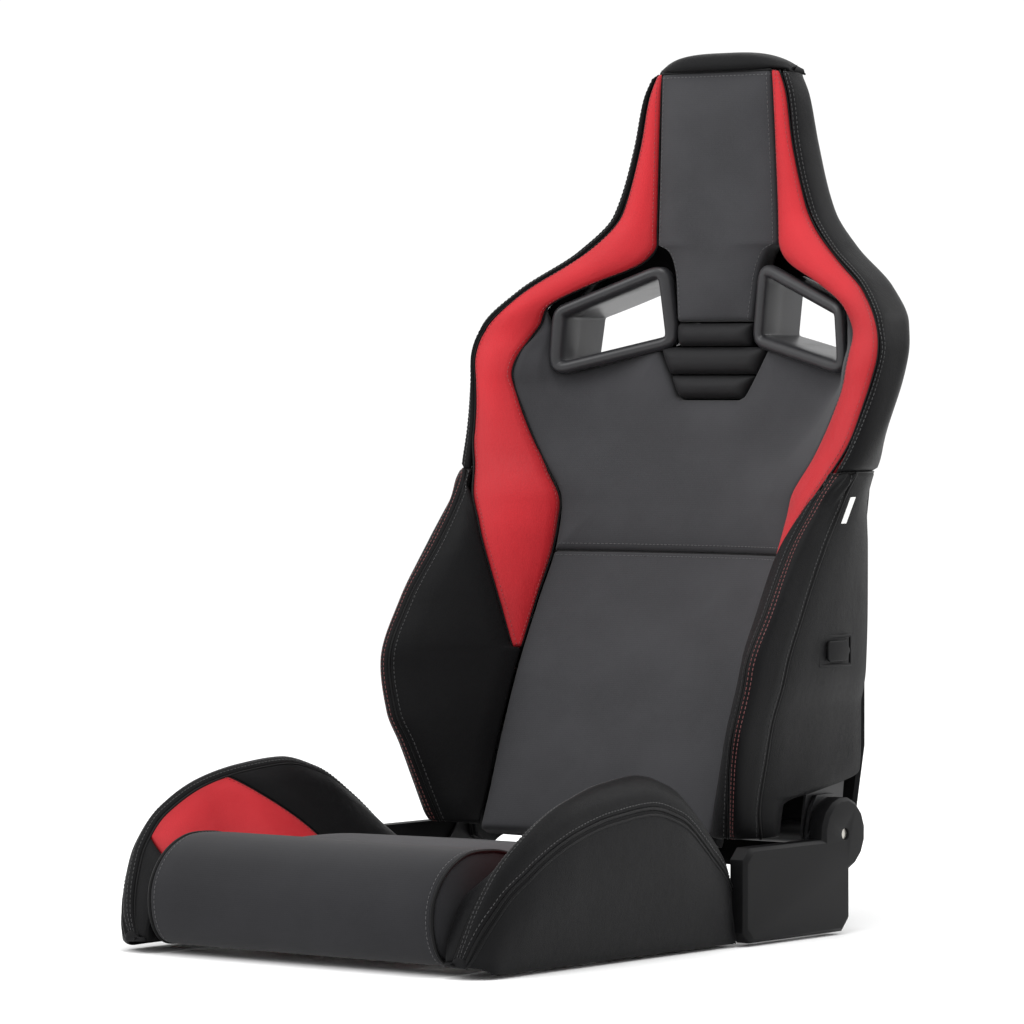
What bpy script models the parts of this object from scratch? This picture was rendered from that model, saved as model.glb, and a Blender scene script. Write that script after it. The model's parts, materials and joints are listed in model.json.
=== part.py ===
"""Reclining racing seat: padded shells on steel frames, with its fold and recline joints.

Metres, +Z up, the sitter faces -Y and +X is the sitter's left. The floor is at zero.
"""
import math

import bmesh
import bpy

# ---- overall sizes -------------------------------------------------------------------
SEAT_HEIGHT = 0.965
BASE_FRONT_Y = -0.405
SHELL_REAR_Y = 0.405
GAP = 0.0003
PAD_GAP = 0.0012
FINE_GAP = 0.0005

# ---- recliner axis -------------------------------------------------------------------
PIVOT_Y = 0.219
PIVOT_Z = 0.108

# ---- head heights, tied to the overall height --------------------------------------------
HEAD_LOW_Z = 0.785
CAP_HEIGHT = 0.021
HEAD_SEAM_Z = SEAT_HEIGHT - CAP_HEIGHT
HEAD_MID_Z = HEAD_LOW_Z + 0.47 * (HEAD_SEAM_Z - HEAD_LOW_Z)
HEAD_HIGH_Z = HEAD_LOW_Z + 0.82 * (HEAD_SEAM_Z - HEAD_LOW_Z)

# ---- backrest stations: height, centre depth, insert half width, insert edge depth,
# ---- ridge half width, ridge depth, outer half width, outer depth ----------------------
BACK_STATIONS = (
    (0.100, 0.118, 0.157, 0.108, 0.195, 0.092, 0.222, 0.116),
    (0.140, 0.138, 0.157, 0.124, 0.205, 0.078, 0.228, 0.104),
    (0.196, 0.166, 0.158, 0.145, 0.2190, 0.061, 0.2420, 0.098),
    (0.230, 0.183, 0.158, 0.158, 0.2310, 0.052, 0.2520, 0.093),
    (0.286, 0.211, 0.158, 0.182, 0.2430, 0.055, 0.2635, 0.102),
    (0.350, 0.246, 0.158, 0.215, 0.2450, 0.090, 0.2650, 0.132),
    (0.420, 0.275, 0.157, 0.250, 0.2400, 0.1440, 0.2640, 0.175),
    (0.464, 0.292, 0.159, 0.260, 0.2430, 0.181, 0.2610, 0.210),
    (0.517, 0.311, 0.190, 0.262, 0.256, 0.218, 0.272, 0.238),
    (0.560, 0.323, 0.212, 0.262, 0.265, 0.236, 0.278, 0.256),
    (0.600, 0.330, 0.228, 0.260, 0.274, 0.247, 0.283, 0.272),
    (0.6275, 0.332, 0.228, 0.270, 0.2785, 0.252, 0.285, 0.282),
)
HEAD_STATIONS = (
    (0.660, 0.3340, 0.200, 0.308, 0.268, 0.262, 0.279, 0.292),
    (0.700, 0.3380, 0.130, 0.332, 0.232, 0.287, 0.246, 0.312),
    (0.744, 0.3405, 0.084, 0.3405, 0.168, 0.318, 0.184, 0.336),
    (HEAD_LOW_Z, 0.3405, 0.0825, 0.3405, 0.130, 0.333, 0.144, 0.352),
    (HEAD_MID_Z, 0.3395, 0.0795, 0.3395, 0.106, 0.337, 0.118, 0.356),
    (HEAD_HIGH_Z, 0.3380, 0.0770, 0.3380, 0.097, 0.340, 0.108, 0.358),
    (HEAD_SEAM_Z, 0.3370, 0.0755, 0.3370, 0.086, 0.343, 0.096, 0.360),
)
SPLIT_Z = 0.407
SPLIT_HALF_GAP = 0.0020
BACK_BOTTOM_Z = 0.102
RED_TIP_Z = 0.300
BAND_LOW_Z = 0.498
BOLSTER_TOP_Z = 0.4925
BOLSTER_BOTTOM_Z = 0.106
SEAM_JOIN_Z = 0.480
SEAM_STEP = 0.004
HEAD_TOP_Z = SEAT_HEIGHT
NECK_LOW_Z = 0.664
NECK_TOP_Z = 0.744
NECK_HALF = 0.0530
CHEST_ROW_Z = (0.6275, 0.640, 0.652)
WING_HEAD_Z = (HEAD_SEAM_Z - PAD_GAP, HEAD_HIGH_Z, HEAD_MID_Z, HEAD_LOW_Z)
WING_SLOT_LINE = [
    (0.084, 0.744), (0.110, 0.724), (0.150, 0.708),
    (0.192, 0.692), (0.216, 0.672), (0.228, 0.650),
]
WING_SHOULDER_Z = (0.765, 0.744, 0.722, 0.696, 0.668, 0.645)
WING_CHEST_Z = (0.622, 0.600, 0.560, 0.520, BAND_LOW_Z)
WING_WAIST_Z = (BAND_LOW_Z - SEAM_STEP, SEAM_JOIN_Z, 0.440, SPLIT_Z, 0.370, 0.335, RED_TIP_Z)
WING_DEPTH = 0.022
WING_CROWN = 0.004
BAND_ROWS_Z = WING_HEAD_Z + (0.744, 0.700, 0.660, 0.6275, 0.600, 0.560, 0.520, BAND_LOW_Z)
BAND_DEPTH = 0.010
CAP_PROFILE = ((0.337, 0.0), (0.340, 0.7), (0.354, 1.0), (0.378, 1.0), (0.392, 0.7), (0.393, 0.0))
CAP_DROP = 0.016
BOLSTER_ROWS_Z = (0.120, 0.142, 0.152, 0.168, 0.196, 0.230, 0.286, 0.300, 0.335, 0.370, SPLIT_Z, 0.440)
BACK_PAD_DEPTH = 0.030
BOLSTER_SKIN = 0.012
PANEL_FOOT_Z = 0.160
FLANK_FOOT_Z = 0.150
PANEL_FRONT_Y = 0.152
BACK_CROWN = 0.008
LUMBAR_CROWN = 0.011

# ---- rear shell ----------------------------------------------------------------------
SHELL_LOWER = 0.009
SHELL_STATIONS = (
    (0.060, 0.288, 0.222, 0.278),
    (0.100, 0.296, 0.227, 0.281),
    (0.200, 0.318, 0.2415, 0.282),
    (0.320, 0.345, 0.2405, 0.283),
    (0.430, 0.370, 0.2400, 0.285),
    (0.520, 0.390, 0.2430, 0.296),
    (0.610, 0.404, 0.260, 0.322),
    (0.660, 0.405, 0.256, 0.334),
    (0.700, 0.405, 0.224, 0.350),
    (0.744, 0.405, 0.164, 0.372),
    (HEAD_LOW_Z, 0.405, 0.126, 0.384),
    (HEAD_MID_Z, 0.403, 0.102, 0.388),
    (HEAD_SEAM_Z - SHELL_LOWER, 0.398, 0.086, 0.384),
)
SHELL_THICK = 0.004

# ---- belt slots: outline of the raised surround as half width and height ---------------
SLOT_OUTLINE = ((0.063, 0.733), (0.200, 0.680), (0.207, 0.600), (0.051, 0.636))
SLOT_CORNER = 0.020
SLOT_CORNER_MIN = 0.009
BEZEL_IN_Y = 0.341
BEZEL_IN_X = 0.055
BEZEL_SLOPE = 0.26
RIM_WIDTH = 0.015
RIM_PROUD = 0.007
RIM_PROFILE = (
    (0.0, 0.006), (0.0, -0.002), (0.18, -0.0055),
    (0.5, -RIM_PROUD), (0.82, -0.0055), (1.0, -0.001),
)
SLEEVE_WALL = 0.0035
SLEEVE_PROUD = 0.0015

# ---- chest pads: half widths and heights ------------------------------------------------
CHEST_PADS = (
    ("chest_pad_top", 0.0500, 0.0525, 0.638, 0.661),
    ("chest_pad_middle", 0.0600, 0.0735, 0.6060, 0.6335),
    ("chest_pad_bottom", 0.0445, 0.0585, 0.5790, 0.6035),
)
NOTCH_CLEAR = 0.0022
CHEST_CROWN = 0.006
CHEST_DEPTH = 0.024

# ---- seat base -------------------------------------------------------------------------
CUSHION_HALF = 0.163
CUSHION_FRONT_Y = -0.268
CUSHION_REAR_Y = 0.074
CUSHION_FRONT_Z = 0.118
CUSHION_REAR_Z = 0.086
CUSHION_UNDER_Z = 0.052
CUSHION_CROWN = 0.010
ROLL_HALF = 0.189
ROLL_SECTION = (
    (-0.270, 0.115), (-0.305, 0.1215), (-0.348, 0.1205), (-0.382, 0.104), (-0.402, 0.076),
    (-0.404, 0.045), (-0.393, 0.020), (-0.372, 0.010), (-0.330, 0.012), (-0.330, 0.050),
    (-0.270, 0.050),
)
# ---- base bolster: depth, ridge height, inner foot half width, ridge inner, ridge outer --
BASE_STATIONS = (
    (-0.378, 0.058, 0.196, 0.222, 0.244),
    (-0.360, 0.098, 0.195, 0.230, 0.250),
    (-0.320, 0.134, 0.193, 0.238, 0.257),
    (-0.262, 0.161, 0.1925, 0.239, 0.260),
    (-0.200, 0.178, 0.168, 0.233, 0.261),
    (-0.136, 0.186, 0.166, 0.229, 0.261),
    (-0.080, 0.173, 0.166, 0.225, 0.259),
    (-0.030, 0.142, 0.166, 0.218, 0.254),
    (0.012, 0.106, 0.166, 0.211, 0.248),
    (0.030, 0.084, 0.166, 0.206, 0.242),
)
BOLSTER_LOW_Z = 0.003
BOLSTER_FOOT_Z = 0.0505
BOLSTER_HOLLOW_Z = 0.0620
FRONT_FILL_Y = -0.300
BOLSTER_SKIRT_X = 0.2475
SKIRT_WALL = 0.0070
BOLSTER_CORE_X = 0.2060
BAND_DROP = 0.022
BAND_DROP_SHARE = 0.2
RED_PANEL_FRONT_Y = -0.330
RED_PANEL_REAR_Y = -0.070
RED_PANEL_REACH = (0.98, 0.98, 0.92, 0.55, 0.12)
RED_PANEL_THICK = 0.004
RED_PANEL_LIFT = 0.0058
RED_PANEL_FOOT = 0.30
RED_PANEL_CLIMB = 0.66

# ---- steel frame -------------------------------------------------------------------------
PLATE_THICK = 0.003
BASE_PLATE_X = 0.2360
BACK_PLATE_X = 0.2245
LINK_PLATE_X = 0.2300
LINK_THICK = 0.0040
TUBE_RADIUS = 0.012
TUBE_SIDES = 12
WIRE_RADIUS = 0.0022
WIRE_SIDES = 6
MOUNT_HALF_X = 0.2025
MOUNT_FRONT_Y = -0.100
MOUNT_REAR_Y = 0.205
MOUNT_SIZE = 0.032
MOUNT_HEIGHT = 0.022
TUBE_Z = MOUNT_HEIGHT + GAP + TUBE_RADIUS
MOUNT_SIDES = 20
TORQUE_TUBE_R = 0.0130
TORQUE_BORE_R = 0.0080
SHAFT_R = 0.0060
COVER_OUT_X = 0.2600
COVER_RADIUS = 0.0400
COVER_FRONT_Y = 0.0340
COVER_REAR_Y = 0.2290
COVER_LOW_Z = 0.0030
COVER_TOP_Z = 0.1040
COVER_CORNER = 0.0120
COVER_EDGE = 0.0040
COVER_ARC = 12
WHEEL_RADIUS = 0.034
WHEEL_IN_X = 0.2610
WHEEL_OUT_X = 0.2800
WHEEL_LOBES = 12
WHEEL_PROFILE = (
    (WHEEL_IN_X, 0.96), (WHEEL_IN_X + 0.004, 1.0),
    (WHEEL_OUT_X - 0.004, 0.97), (WHEEL_OUT_X, 0.86),
)
SHAFT_SHORT = 0.003
CAP_RADIUS = 0.016
CAP_THICK = 0.0022

# ---- plate outlines: depth and height from the recliner axis -----------------------------
BACK_PLATE_OUTLINE = (
    (-0.027, -0.024), (-0.003, -0.032), (0.025, -0.024), (0.037, 0.004), (0.049, 0.092), (0.055, 0.222),
    (0.060, 0.362), (0.037, 0.366), (0.013, 0.222), (-0.019, 0.092), (-0.035, 0.004),
)
BASE_PLATE_OUTLINE = (
    (-0.519, -0.086), (-0.019, -0.0895), (0.004, -0.086), (0.007, -0.046), (0.031, -0.014), (0.027, 0.010),
    (0.000, 0.034), (-0.029, 0.010), (-0.069, -0.030), (-0.189, -0.054), (-0.519, -0.058),
)
RECLINER_OUTLINE = (
    (0.000, -0.038), (0.029, -0.024), (0.035, 0.000), (0.029, 0.026), (0.017, 0.042), (-0.017, 0.042),
    (-0.029, 0.026), (-0.035, 0.000), (-0.029, -0.024),
)
PAWL_OUTLINE = (
    (0.010, -0.010), (0.010, 0.004), (0.004, 0.010), (-0.006, 0.009), (-0.011, 0.000), (-0.009, -0.012),
)
HOOP_REAR_LINE = (
    (-0.2110, 0.2864, 0.440), (-0.2070, 0.3024, 0.500), (-0.2100, 0.3244, 0.560),
    (-0.2170, 0.3404, 0.610), (-0.2170, 0.3464, 0.652), (-0.1700, 0.3584, 0.718),
    (-0.1080, 0.3824, 0.768), (-0.0840, 0.3879, HEAD_MID_Z),
    (-0.0600, 0.3879, HEAD_SEAM_Z - 0.032), (0.0, 0.3879, HEAD_SEAM_Z - 0.022),
)
LOWER_TUBE_Y = 0.243
LOWER_TUBE_Z = 0.206
UPPER_TUBE_Y = 0.262
UPPER_TUBE_BOW = 0.060
UPPER_TUBE_Z = 0.400
TUBE_WALL = 0.002
FRONT_TUBE_Y = -0.250
THIN_TUBE = 0.0084
SPRINGS = (("low", 0.216, 0.210), ("mid", 0.243, 0.270), ("high", 0.260, 0.330))
SPRING_BOW = 0.010

# ---- fold levers, their pockets and small trim ----------------------------------------------
LEVER_Y = 0.194
LEVER_Z = 0.307
LEVER_LONG = 0.050
LEVER_TALL = 0.022
LEVER_THICK = 0.0035
LEVER_PIVOT_Y = 0.214
LEVER_NOSE = 0.003
LEVER_TAIL = 0.012
POCKET_IN_X = 0.2612
POCKET_OUT_X = 0.2640
POCKET_WALL = 0.003
POCKET_Y = 0.062
POCKET_Z = 0.034
PAWL_Y = 0.222
PAWL_Z = 0.168
PAWL_THICK = 0.004
PAWL_TIP_HALF = 0.004
PAWL_TIP_GAP = 0.0018
TAG_X = 0.2715
TAG_THICK = 0.0012
TAG_HALF_Y = 0.004
TAG_HALF_Z = 0.014
TAG_LEAN = 0.009
TAG_Y = 0.206
TAG_Z = 0.458

SHARP_ANGLE = math.radians(35.0)
MADE = []


# ---- helpers -------------------------------------------------------------------------------
def clear_scene():
    for old in list(bpy.data.objects):
        bpy.data.objects.remove(old, do_unlink=True)


def lerp(a, b, t):
    return a + (b - a) * t


def station(table, key):
    """Read a station table at one key, straight between its rows."""
    if key <= table[0][0]:
        return table[0][1:]
    for low, high in zip(table, table[1:]):
        if key <= high[0]:
            t = (key - low[0]) / (high[0] - low[0])
            return tuple(lerp(a, b, t) for a, b in zip(low[1:], high[1:]))
    return table[-1][1:]


ALL_BACK = BACK_STATIONS + HEAD_STATIONS


def back_front(x, z):
    """Depth of the backrest's front face at half width x and height z."""
    centre, in_x, in_y, ridge_x, ridge_y, out_x, out_y = station(ALL_BACK, z)
    x = abs(x)
    if x <= in_x:
        return lerp(centre, in_y, (x / in_x) ** 3)
    if x <= ridge_x:
        return lerp(in_y, ridge_y, (x - in_x) / (ridge_x - in_x))
    return lerp(ridge_y, out_y, min(1.0, (x - ridge_x) / (out_x - ridge_x)))


def shell_rear(x, z):
    """Depth of the rear shell's outer face at half width x and height z."""
    centre, side_x, side_y = station(SHELL_STATIONS, z)
    return lerp(centre, side_y, min(1.0, abs(x) / side_x) ** 3)


def material(name, colour, metallic, roughness):
    mat = bpy.data.materials.new(name)
    mat.use_nodes = True
    shader = mat.node_tree.nodes["Principled BSDF"]
    shader.inputs["Base Color"].default_value = (*colour, 1.0)
    shader.inputs["Metallic"].default_value = metallic
    shader.inputs["Roughness"].default_value = roughness
    return mat


FINISH = {
    "grey_cloth": ((0.055, 0.055, 0.057), 0.0, 0.80),
    "black_leather": ((0.018, 0.018, 0.019), 0.0, 0.42),
    "red_leather": ((0.62, 0.022, 0.035), 0.0, 0.48),
    "black_plastic": ((0.020, 0.020, 0.021), 0.0, 0.40),
    "dark_steel": ((0.045, 0.046, 0.048), 1.0, 0.38),
    "zinc_steel": ((0.55, 0.54, 0.50), 1.0, 0.34),
    "white_tag": ((0.80, 0.80, 0.78), 0.0, 0.70),
}


def add(name, verts, faces, finish):
    """Make one closed object with outward faces and its own material."""
    mesh = bpy.data.meshes.new(name)
    mesh.from_pydata(verts, [], faces)
    work = bmesh.new()
    work.from_mesh(mesh)
    bmesh.ops.recalc_face_normals(work, faces=work.faces)
    work.to_mesh(mesh)
    work.free()
    mesh.shade_smooth()
    mesh.set_sharp_from_angle(angle=SHARP_ANGLE)
    mesh.materials.append(material(name + "_mat", *FINISH[finish]))
    obj = bpy.data.objects.new(name, mesh)
    bpy.context.scene.collection.objects.link(obj)
    MADE.append(obj)
    return obj


def rings(name, sections, finish, closed=False):
    """Join equal sections into a solid; open rows are capped at both ends."""
    count = len(sections[0])
    verts = [tuple(point) for section in sections for point in section]
    faces = []
    rows = len(sections)
    for i in range(rows if closed else rows - 1):
        j = (i + 1) % rows
        for k in range(count):
            m = (k + 1) % count
            faces.append((i * count + k, i * count + m, j * count + m, j * count + k))
    if not closed:
        faces.append(tuple(reversed(range(count))))
        faces.append(tuple(range((rows - 1) * count, rows * count)))
    return add(name, verts, faces, finish)


def slab(name, front, rear, finish):
    """Close two equal grids of points into a solid, front grid and rear grid."""
    rows = len(front)
    cols = len(front[0])
    verts = [tuple(p) for row in front for p in row] + [tuple(p) for row in rear for p in row]
    base = rows * cols
    faces = []
    for i in range(rows - 1):
        for j in range(cols - 1):
            a = i * cols + j
            faces.append((a, a + 1, a + cols + 1, a + cols))
            faces.append((base + a + cols, base + a + cols + 1, base + a + 1, base + a))
    edge = [i * cols for i in range(rows)]
    edge += [(rows - 1) * cols + j for j in range(1, cols)]
    edge += [i * cols + cols - 1 for i in range(rows - 2, -1, -1)]
    edge += [j for j in range(cols - 2, 0, -1)]
    for k, a in enumerate(edge):
        b = edge[(k + 1) % len(edge)]
        faces.append((a, b, base + b, base + a))
    return add(name, verts, faces, finish)


def steps(low, high, count):
    return [lerp(low, high, i / count) for i in range(count + 1)]


def circle(radius, sides, turn=0.0):
    return [(radius * math.cos(turn + math.tau * k / sides),
             radius * math.sin(turn + math.tau * k / sides)) for k in range(sides)]


def x_cylinder(name, x0, x1, y, z, radius, sides, finish):
    ring = circle(radius, sides)
    return rings(name, [[(x, y + a, z + b) for a, b in ring] for x in (x0, x1)], finish)


def x_tube(name, x0, x1, y, z, radius, bore, sides, finish):
    rows = []
    for k in range(sides):
        c = math.cos(math.tau * k / sides)
        s = math.sin(math.tau * k / sides)
        rows.append([(x0, y + radius * c, z + radius * s), (x1, y + radius * c, z + radius * s),
                     (x1, y + bore * c, z + bore * s), (x0, y + bore * c, z + bore * s)])
    return rings(name, rows, finish, closed=True)


def pipe(name, path, radius, sides, finish):
    """Round bar along a path, its section turned with the path."""
    from mathutils import Vector
    points = [Vector(p) for p in path]
    sections = []
    side = None
    for i, point in enumerate(points):
        ahead = points[min(i + 1, len(points) - 1)]
        behind = points[max(i - 1, 0)]
        along = (ahead - behind).normalized()
        if side is None:
            side = along.orthogonal().normalized()
        side = (side - along * side.dot(along)).normalized()
        other = along.cross(side)
        sections.append([point + side * a + other * b for a, b in circle(radius, sides)])
    return rings(name, sections, finish)


def plate(name, x0, x1, outline, finish):
    """Flat plate with a y, z outline between two x positions."""
    return rings(name, [[(x, y, z) for y, z in outline] for x in (x0, x1)], finish)


def cut(obj, cutter):
    """Take the cutter's solid out of the object."""
    cutter.hide_render = True
    cutter.display_type = "WIRE"
    mod = obj.modifiers.new("cut", "BOOLEAN")
    mod.operation = "DIFFERENCE"
    mod.solver = "EXACT"
    mod.object = cutter
    bpy.context.view_layer.update()
    graph = bpy.context.evaluated_depsgraph_get()
    done = bpy.data.meshes.new_from_object(obj.evaluated_get(graph))
    obj.modifiers.remove(mod)
    obj.data = done


def drop(cutters):
    for cutter in cutters:
        MADE.remove(cutter)
        bpy.data.objects.remove(cutter, do_unlink=True)


# ---- backrest padding -----------------------------------------------------------------------
def strip_pad(name, a_line, b_line, cols, depth, crown, finish, lift=0.0):
    """Pad over a strip of the backrest between two lines of (x, z) points."""
    front = []
    rear = []
    rows = len(a_line) - 1
    for i, (a, b) in enumerate(zip(a_line, b_line)):
        width = math.hypot(b[0] - a[0], b[1] - a[1])
        inset = min(0.45, PAD_GAP / width)
        along = 1.0 - abs(2.0 * i / rows - 1.0) ** 4
        front_row = []
        rear_row = []
        for j in range(cols + 1):
            s = lerp(inset, 1.0 - inset, j / cols)
            x = lerp(a[0], b[0], s)
            z = lerp(a[1], b[1], s)
            across = 1.0 - abs(2.0 * j / cols - 1.0) ** 3
            y = back_front(x, z)
            front_row.append((x, y - crown * across * along - lift, z))
            rear_row.append((x, y + depth, z))
        front.append(front_row)
        rear.append(rear_row)
    return slab(name, front, rear, finish)


def insert_half(z):
    return station(ALL_BACK, z)[1]


def ridge_half(z):
    return station(ALL_BACK, z)[3]


def rounded_outline(corners, radius, arc):
    """Closed outline with its corners rounded, as (x, z) points."""
    out = []
    count = len(corners)
    for i in range(count):
        p = corners[i]
        before = corners[i - 1]
        after = corners[(i + 1) % count]
        u = (before[0] - p[0], before[1] - p[1])
        v = (after[0] - p[0], after[1] - p[1])
        lu = math.hypot(*u)
        lv = math.hypot(*v)
        cosine = (u[0] * v[0] + u[1] * v[1]) / (lu * lv)
        trim = min(radius / math.tan(math.acos(cosine) / 2.0), 0.45 * lu, 0.45 * lv)
        a = (p[0] + u[0] / lu * trim, p[1] + u[1] / lu * trim)
        b = (p[0] + v[0] / lv * trim, p[1] + v[1] / lv * trim)
        for k in range(arc + 1):
            t = k / arc
            out.append(((1 - t) ** 2 * a[0] + 2 * t * (1 - t) * p[0] + t * t * b[0],
                        (1 - t) ** 2 * a[1] + 2 * t * (1 - t) * p[1] + t * t * b[1]))
    return out


def inset_corners(corners, distance):
    """Move each edge of a polygon inwards and return where the moved edges meet."""
    count = len(corners)
    area = sum(corners[i - 1][0] * corners[i][1] - corners[i][0] * corners[i - 1][1] for i in range(count))
    turn = distance if area > 0 else -distance
    edges = []
    for i in range(count):
        a = corners[i]
        b = corners[(i + 1) % count]
        dx = b[0] - a[0]
        dz = b[1] - a[1]
        size = math.hypot(dx, dz)
        edges.append(((a[0] - dz / size * turn, a[1] + dx / size * turn), (dx, dz)))
    out = []
    for i in range(count):
        p, u = edges[i - 1]
        q, v = edges[i]
        cross = u[0] * v[1] - u[1] * v[0]
        t = ((q[0] - p[0]) * v[1] - (q[1] - p[1]) * v[0]) / cross
        out.append((p[0] + u[0] * t, p[1] + u[1] * t))
    return out


def slot_outline(side, inset=0.0, arc=3):
    """Rounded outline of one belt slot, moved inwards by an inset."""
    corners = inset_corners([(side * x, z) for x, z in SLOT_OUTLINE], inset)
    return rounded_outline(corners, max(SLOT_CORNER_MIN, SLOT_CORNER - inset), arc)


def slot_cutter(side, inset):
    outline = slot_outline(side, inset)
    low = [(x, BASE_FRONT_Y, z) for x, z in outline]
    high = [(x, SHELL_REAR_Y + TUBE_RADIUS, z) for x, z in outline]
    return rings("slot_cutter", [low, high], "black_plastic")


def cut_slots(obj, sides):
    cutters = [slot_cutter(side, -PAD_GAP) for side in sides]
    for cutter in cutters:
        cut(obj, cutter)
    drop(cutters)


def lower_back_cushion():
    rows = steps(BACK_BOTTOM_Z, SPLIT_Z - SPLIT_HALF_GAP, 8)
    a_line = [(-insert_half(z), z) for z in rows]
    b_line = [(insert_half(z), z) for z in rows]
    strip_pad("lower_back_cushion", a_line, b_line, 8, BACK_PAD_DEPTH, LUMBAR_CROWN, "grey_cloth")


def upper_back_cushion():
    rows = steps(SPLIT_Z + SPLIT_HALF_GAP, CHEST_ROW_Z[0], 7) + list(CHEST_ROW_Z[1:])
    a_line = [(-insert_half(z), z) for z in rows]
    b_line = [(insert_half(z), z) for z in rows]
    obj = strip_pad("upper_back_cushion", a_line, b_line, 10, BACK_PAD_DEPTH, BACK_CROWN, "grey_cloth")
    low = CHEST_PADS[2]
    high = CHEST_PADS[1]
    top = SEAT_HEIGHT
    outline = [(-low[1] - NOTCH_CLEAR, low[3] - NOTCH_CLEAR), (low[1] + NOTCH_CLEAR, low[3] - NOTCH_CLEAR),
               (high[2] + NOTCH_CLEAR, high[4] + NOTCH_CLEAR), (SLOT_OUTLINE[0][0], top),
               (-SLOT_OUTLINE[0][0], top), (-high[2] - NOTCH_CLEAR, high[4] + NOTCH_CLEAR)]
    ends = [[(x, y, z) for x, z in outline] for y in (BASE_FRONT_Y, SHELL_REAR_Y)]
    notch = rings("notch_cutter", ends, "black_plastic")
    cut(obj, notch)
    drop([notch])
    cut_slots(obj, (-1, 1))


def chest_pads():
    for name, low_x, high_x, low_z, high_z in CHEST_PADS:
        rows = steps(low_z, high_z, 4)
        half = [lerp(low_x, high_x, i / 4) for i in range(5)]
        a_line = [(-x, z) for x, z in zip(half, rows)]
        b_line = list(zip(half, rows))
        obj = strip_pad(name, a_line, b_line, 6, CHEST_DEPTH, CHEST_CROWN, "black_leather")
        cut_slots(obj, (-1, 1))


def head_cushion():
    rows = steps(NECK_LOW_Z, NECK_TOP_Z, 3) + steps(HEAD_LOW_Z, HEAD_SEAM_Z - PAD_GAP, 4)
    half = [lerp(NECK_HALF, SLOT_OUTLINE[0][0] + SEAM_STEP, i / 3) for i in range(4)]
    half[3] = insert_half(NECK_TOP_Z)
    half += [insert_half(z) for z in rows[4:]]
    a_line = [(-x, z) for x, z in zip(half, rows)]
    b_line = list(zip(half, rows))
    obj = strip_pad("head_cushion", a_line, b_line, 6, BACK_PAD_DEPTH, BACK_CROWN, "grey_cloth")
    cut_slots(obj, (-1, 1))


def wing_edge(z):
    """Half width of the red wing's outer seam where the lower bolster meets it."""
    t = min(1.0, max(0.0, (SEAM_JOIN_Z - z) / (SEAM_JOIN_Z - RED_TIP_Z)))
    high = ridge_half(SEAM_JOIN_Z) - SEAM_STEP
    return lerp(high, insert_half(RED_TIP_Z) + 1.5 * SEAM_STEP, t ** 0.75)


def wing_lines(side):
    """Inner and outer (x, z) lines of the red wing, from the head down to its tip."""
    inner = []
    outer = []
    for z in WING_HEAD_Z:
        inner.append((insert_half(z), z))
        outer.append((ridge_half(z), z))
    inner += WING_SLOT_LINE
    outer += [(ridge_half(z), z) for z in WING_SHOULDER_Z]
    for z in WING_CHEST_Z:
        inner.append((insert_half(z), z))
        outer.append((ridge_half(z), z))
    for z in WING_WAIST_Z:
        inner.append((insert_half(z), z))
        outer.append((wing_edge(z), z))
    return [(side * x, z) for x, z in inner], [(side * x, z) for x, z in outer]


def red_wing(side, label):
    inner, outer = wing_lines(side)
    obj = strip_pad("red_wing_" + label, inner, outer, 3, WING_DEPTH, WING_CROWN, "red_leather")
    cut_slots(obj, (side,))


def outer_band(side, label):
    """Black band round the shoulder and head side, from the red seam back to the shell."""
    sections = []
    for z in BAND_ROWS_Z:
        centre, in_x, in_y, ridge_x, ridge_y, out_x, out_y = station(ALL_BACK, z)
        side_x, side_y = station(SHELL_STATIONS, z)[1:]
        rear_y = side_y - SHELL_THICK - PAD_GAP
        x0 = ridge_x + PAD_GAP
        deep = max(out_y + BAND_DEPTH, rear_y)
        points = [(x0, ridge_y), (lerp(x0, out_x, 0.7), lerp(ridge_y, out_y, 0.35)), (out_x, out_y),
                  (out_x, lerp(out_y, deep, 0.6)), (lerp(x0, out_x, 0.6), deep), (x0, deep)]
        sections.append([(side * x, y, z) for x, y in points])
    rings("outer_band_" + label, sections, "black_leather")


def head_cap():
    """Black strip closing the head's top edge between the two side bands."""
    sections = []
    for part in steps(-1.0, 1.0, 10):
        x = part * ridge_half(HEAD_SEAM_Z)
        top = HEAD_TOP_Z - CAP_DROP * abs(part) ** 6
        low = HEAD_SEAM_Z + PAD_GAP
        sections.append([(x, y, lerp(low, top, share)) for y, share in CAP_PROFILE])
    rings("head_cap", sections, "black_leather")


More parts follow.
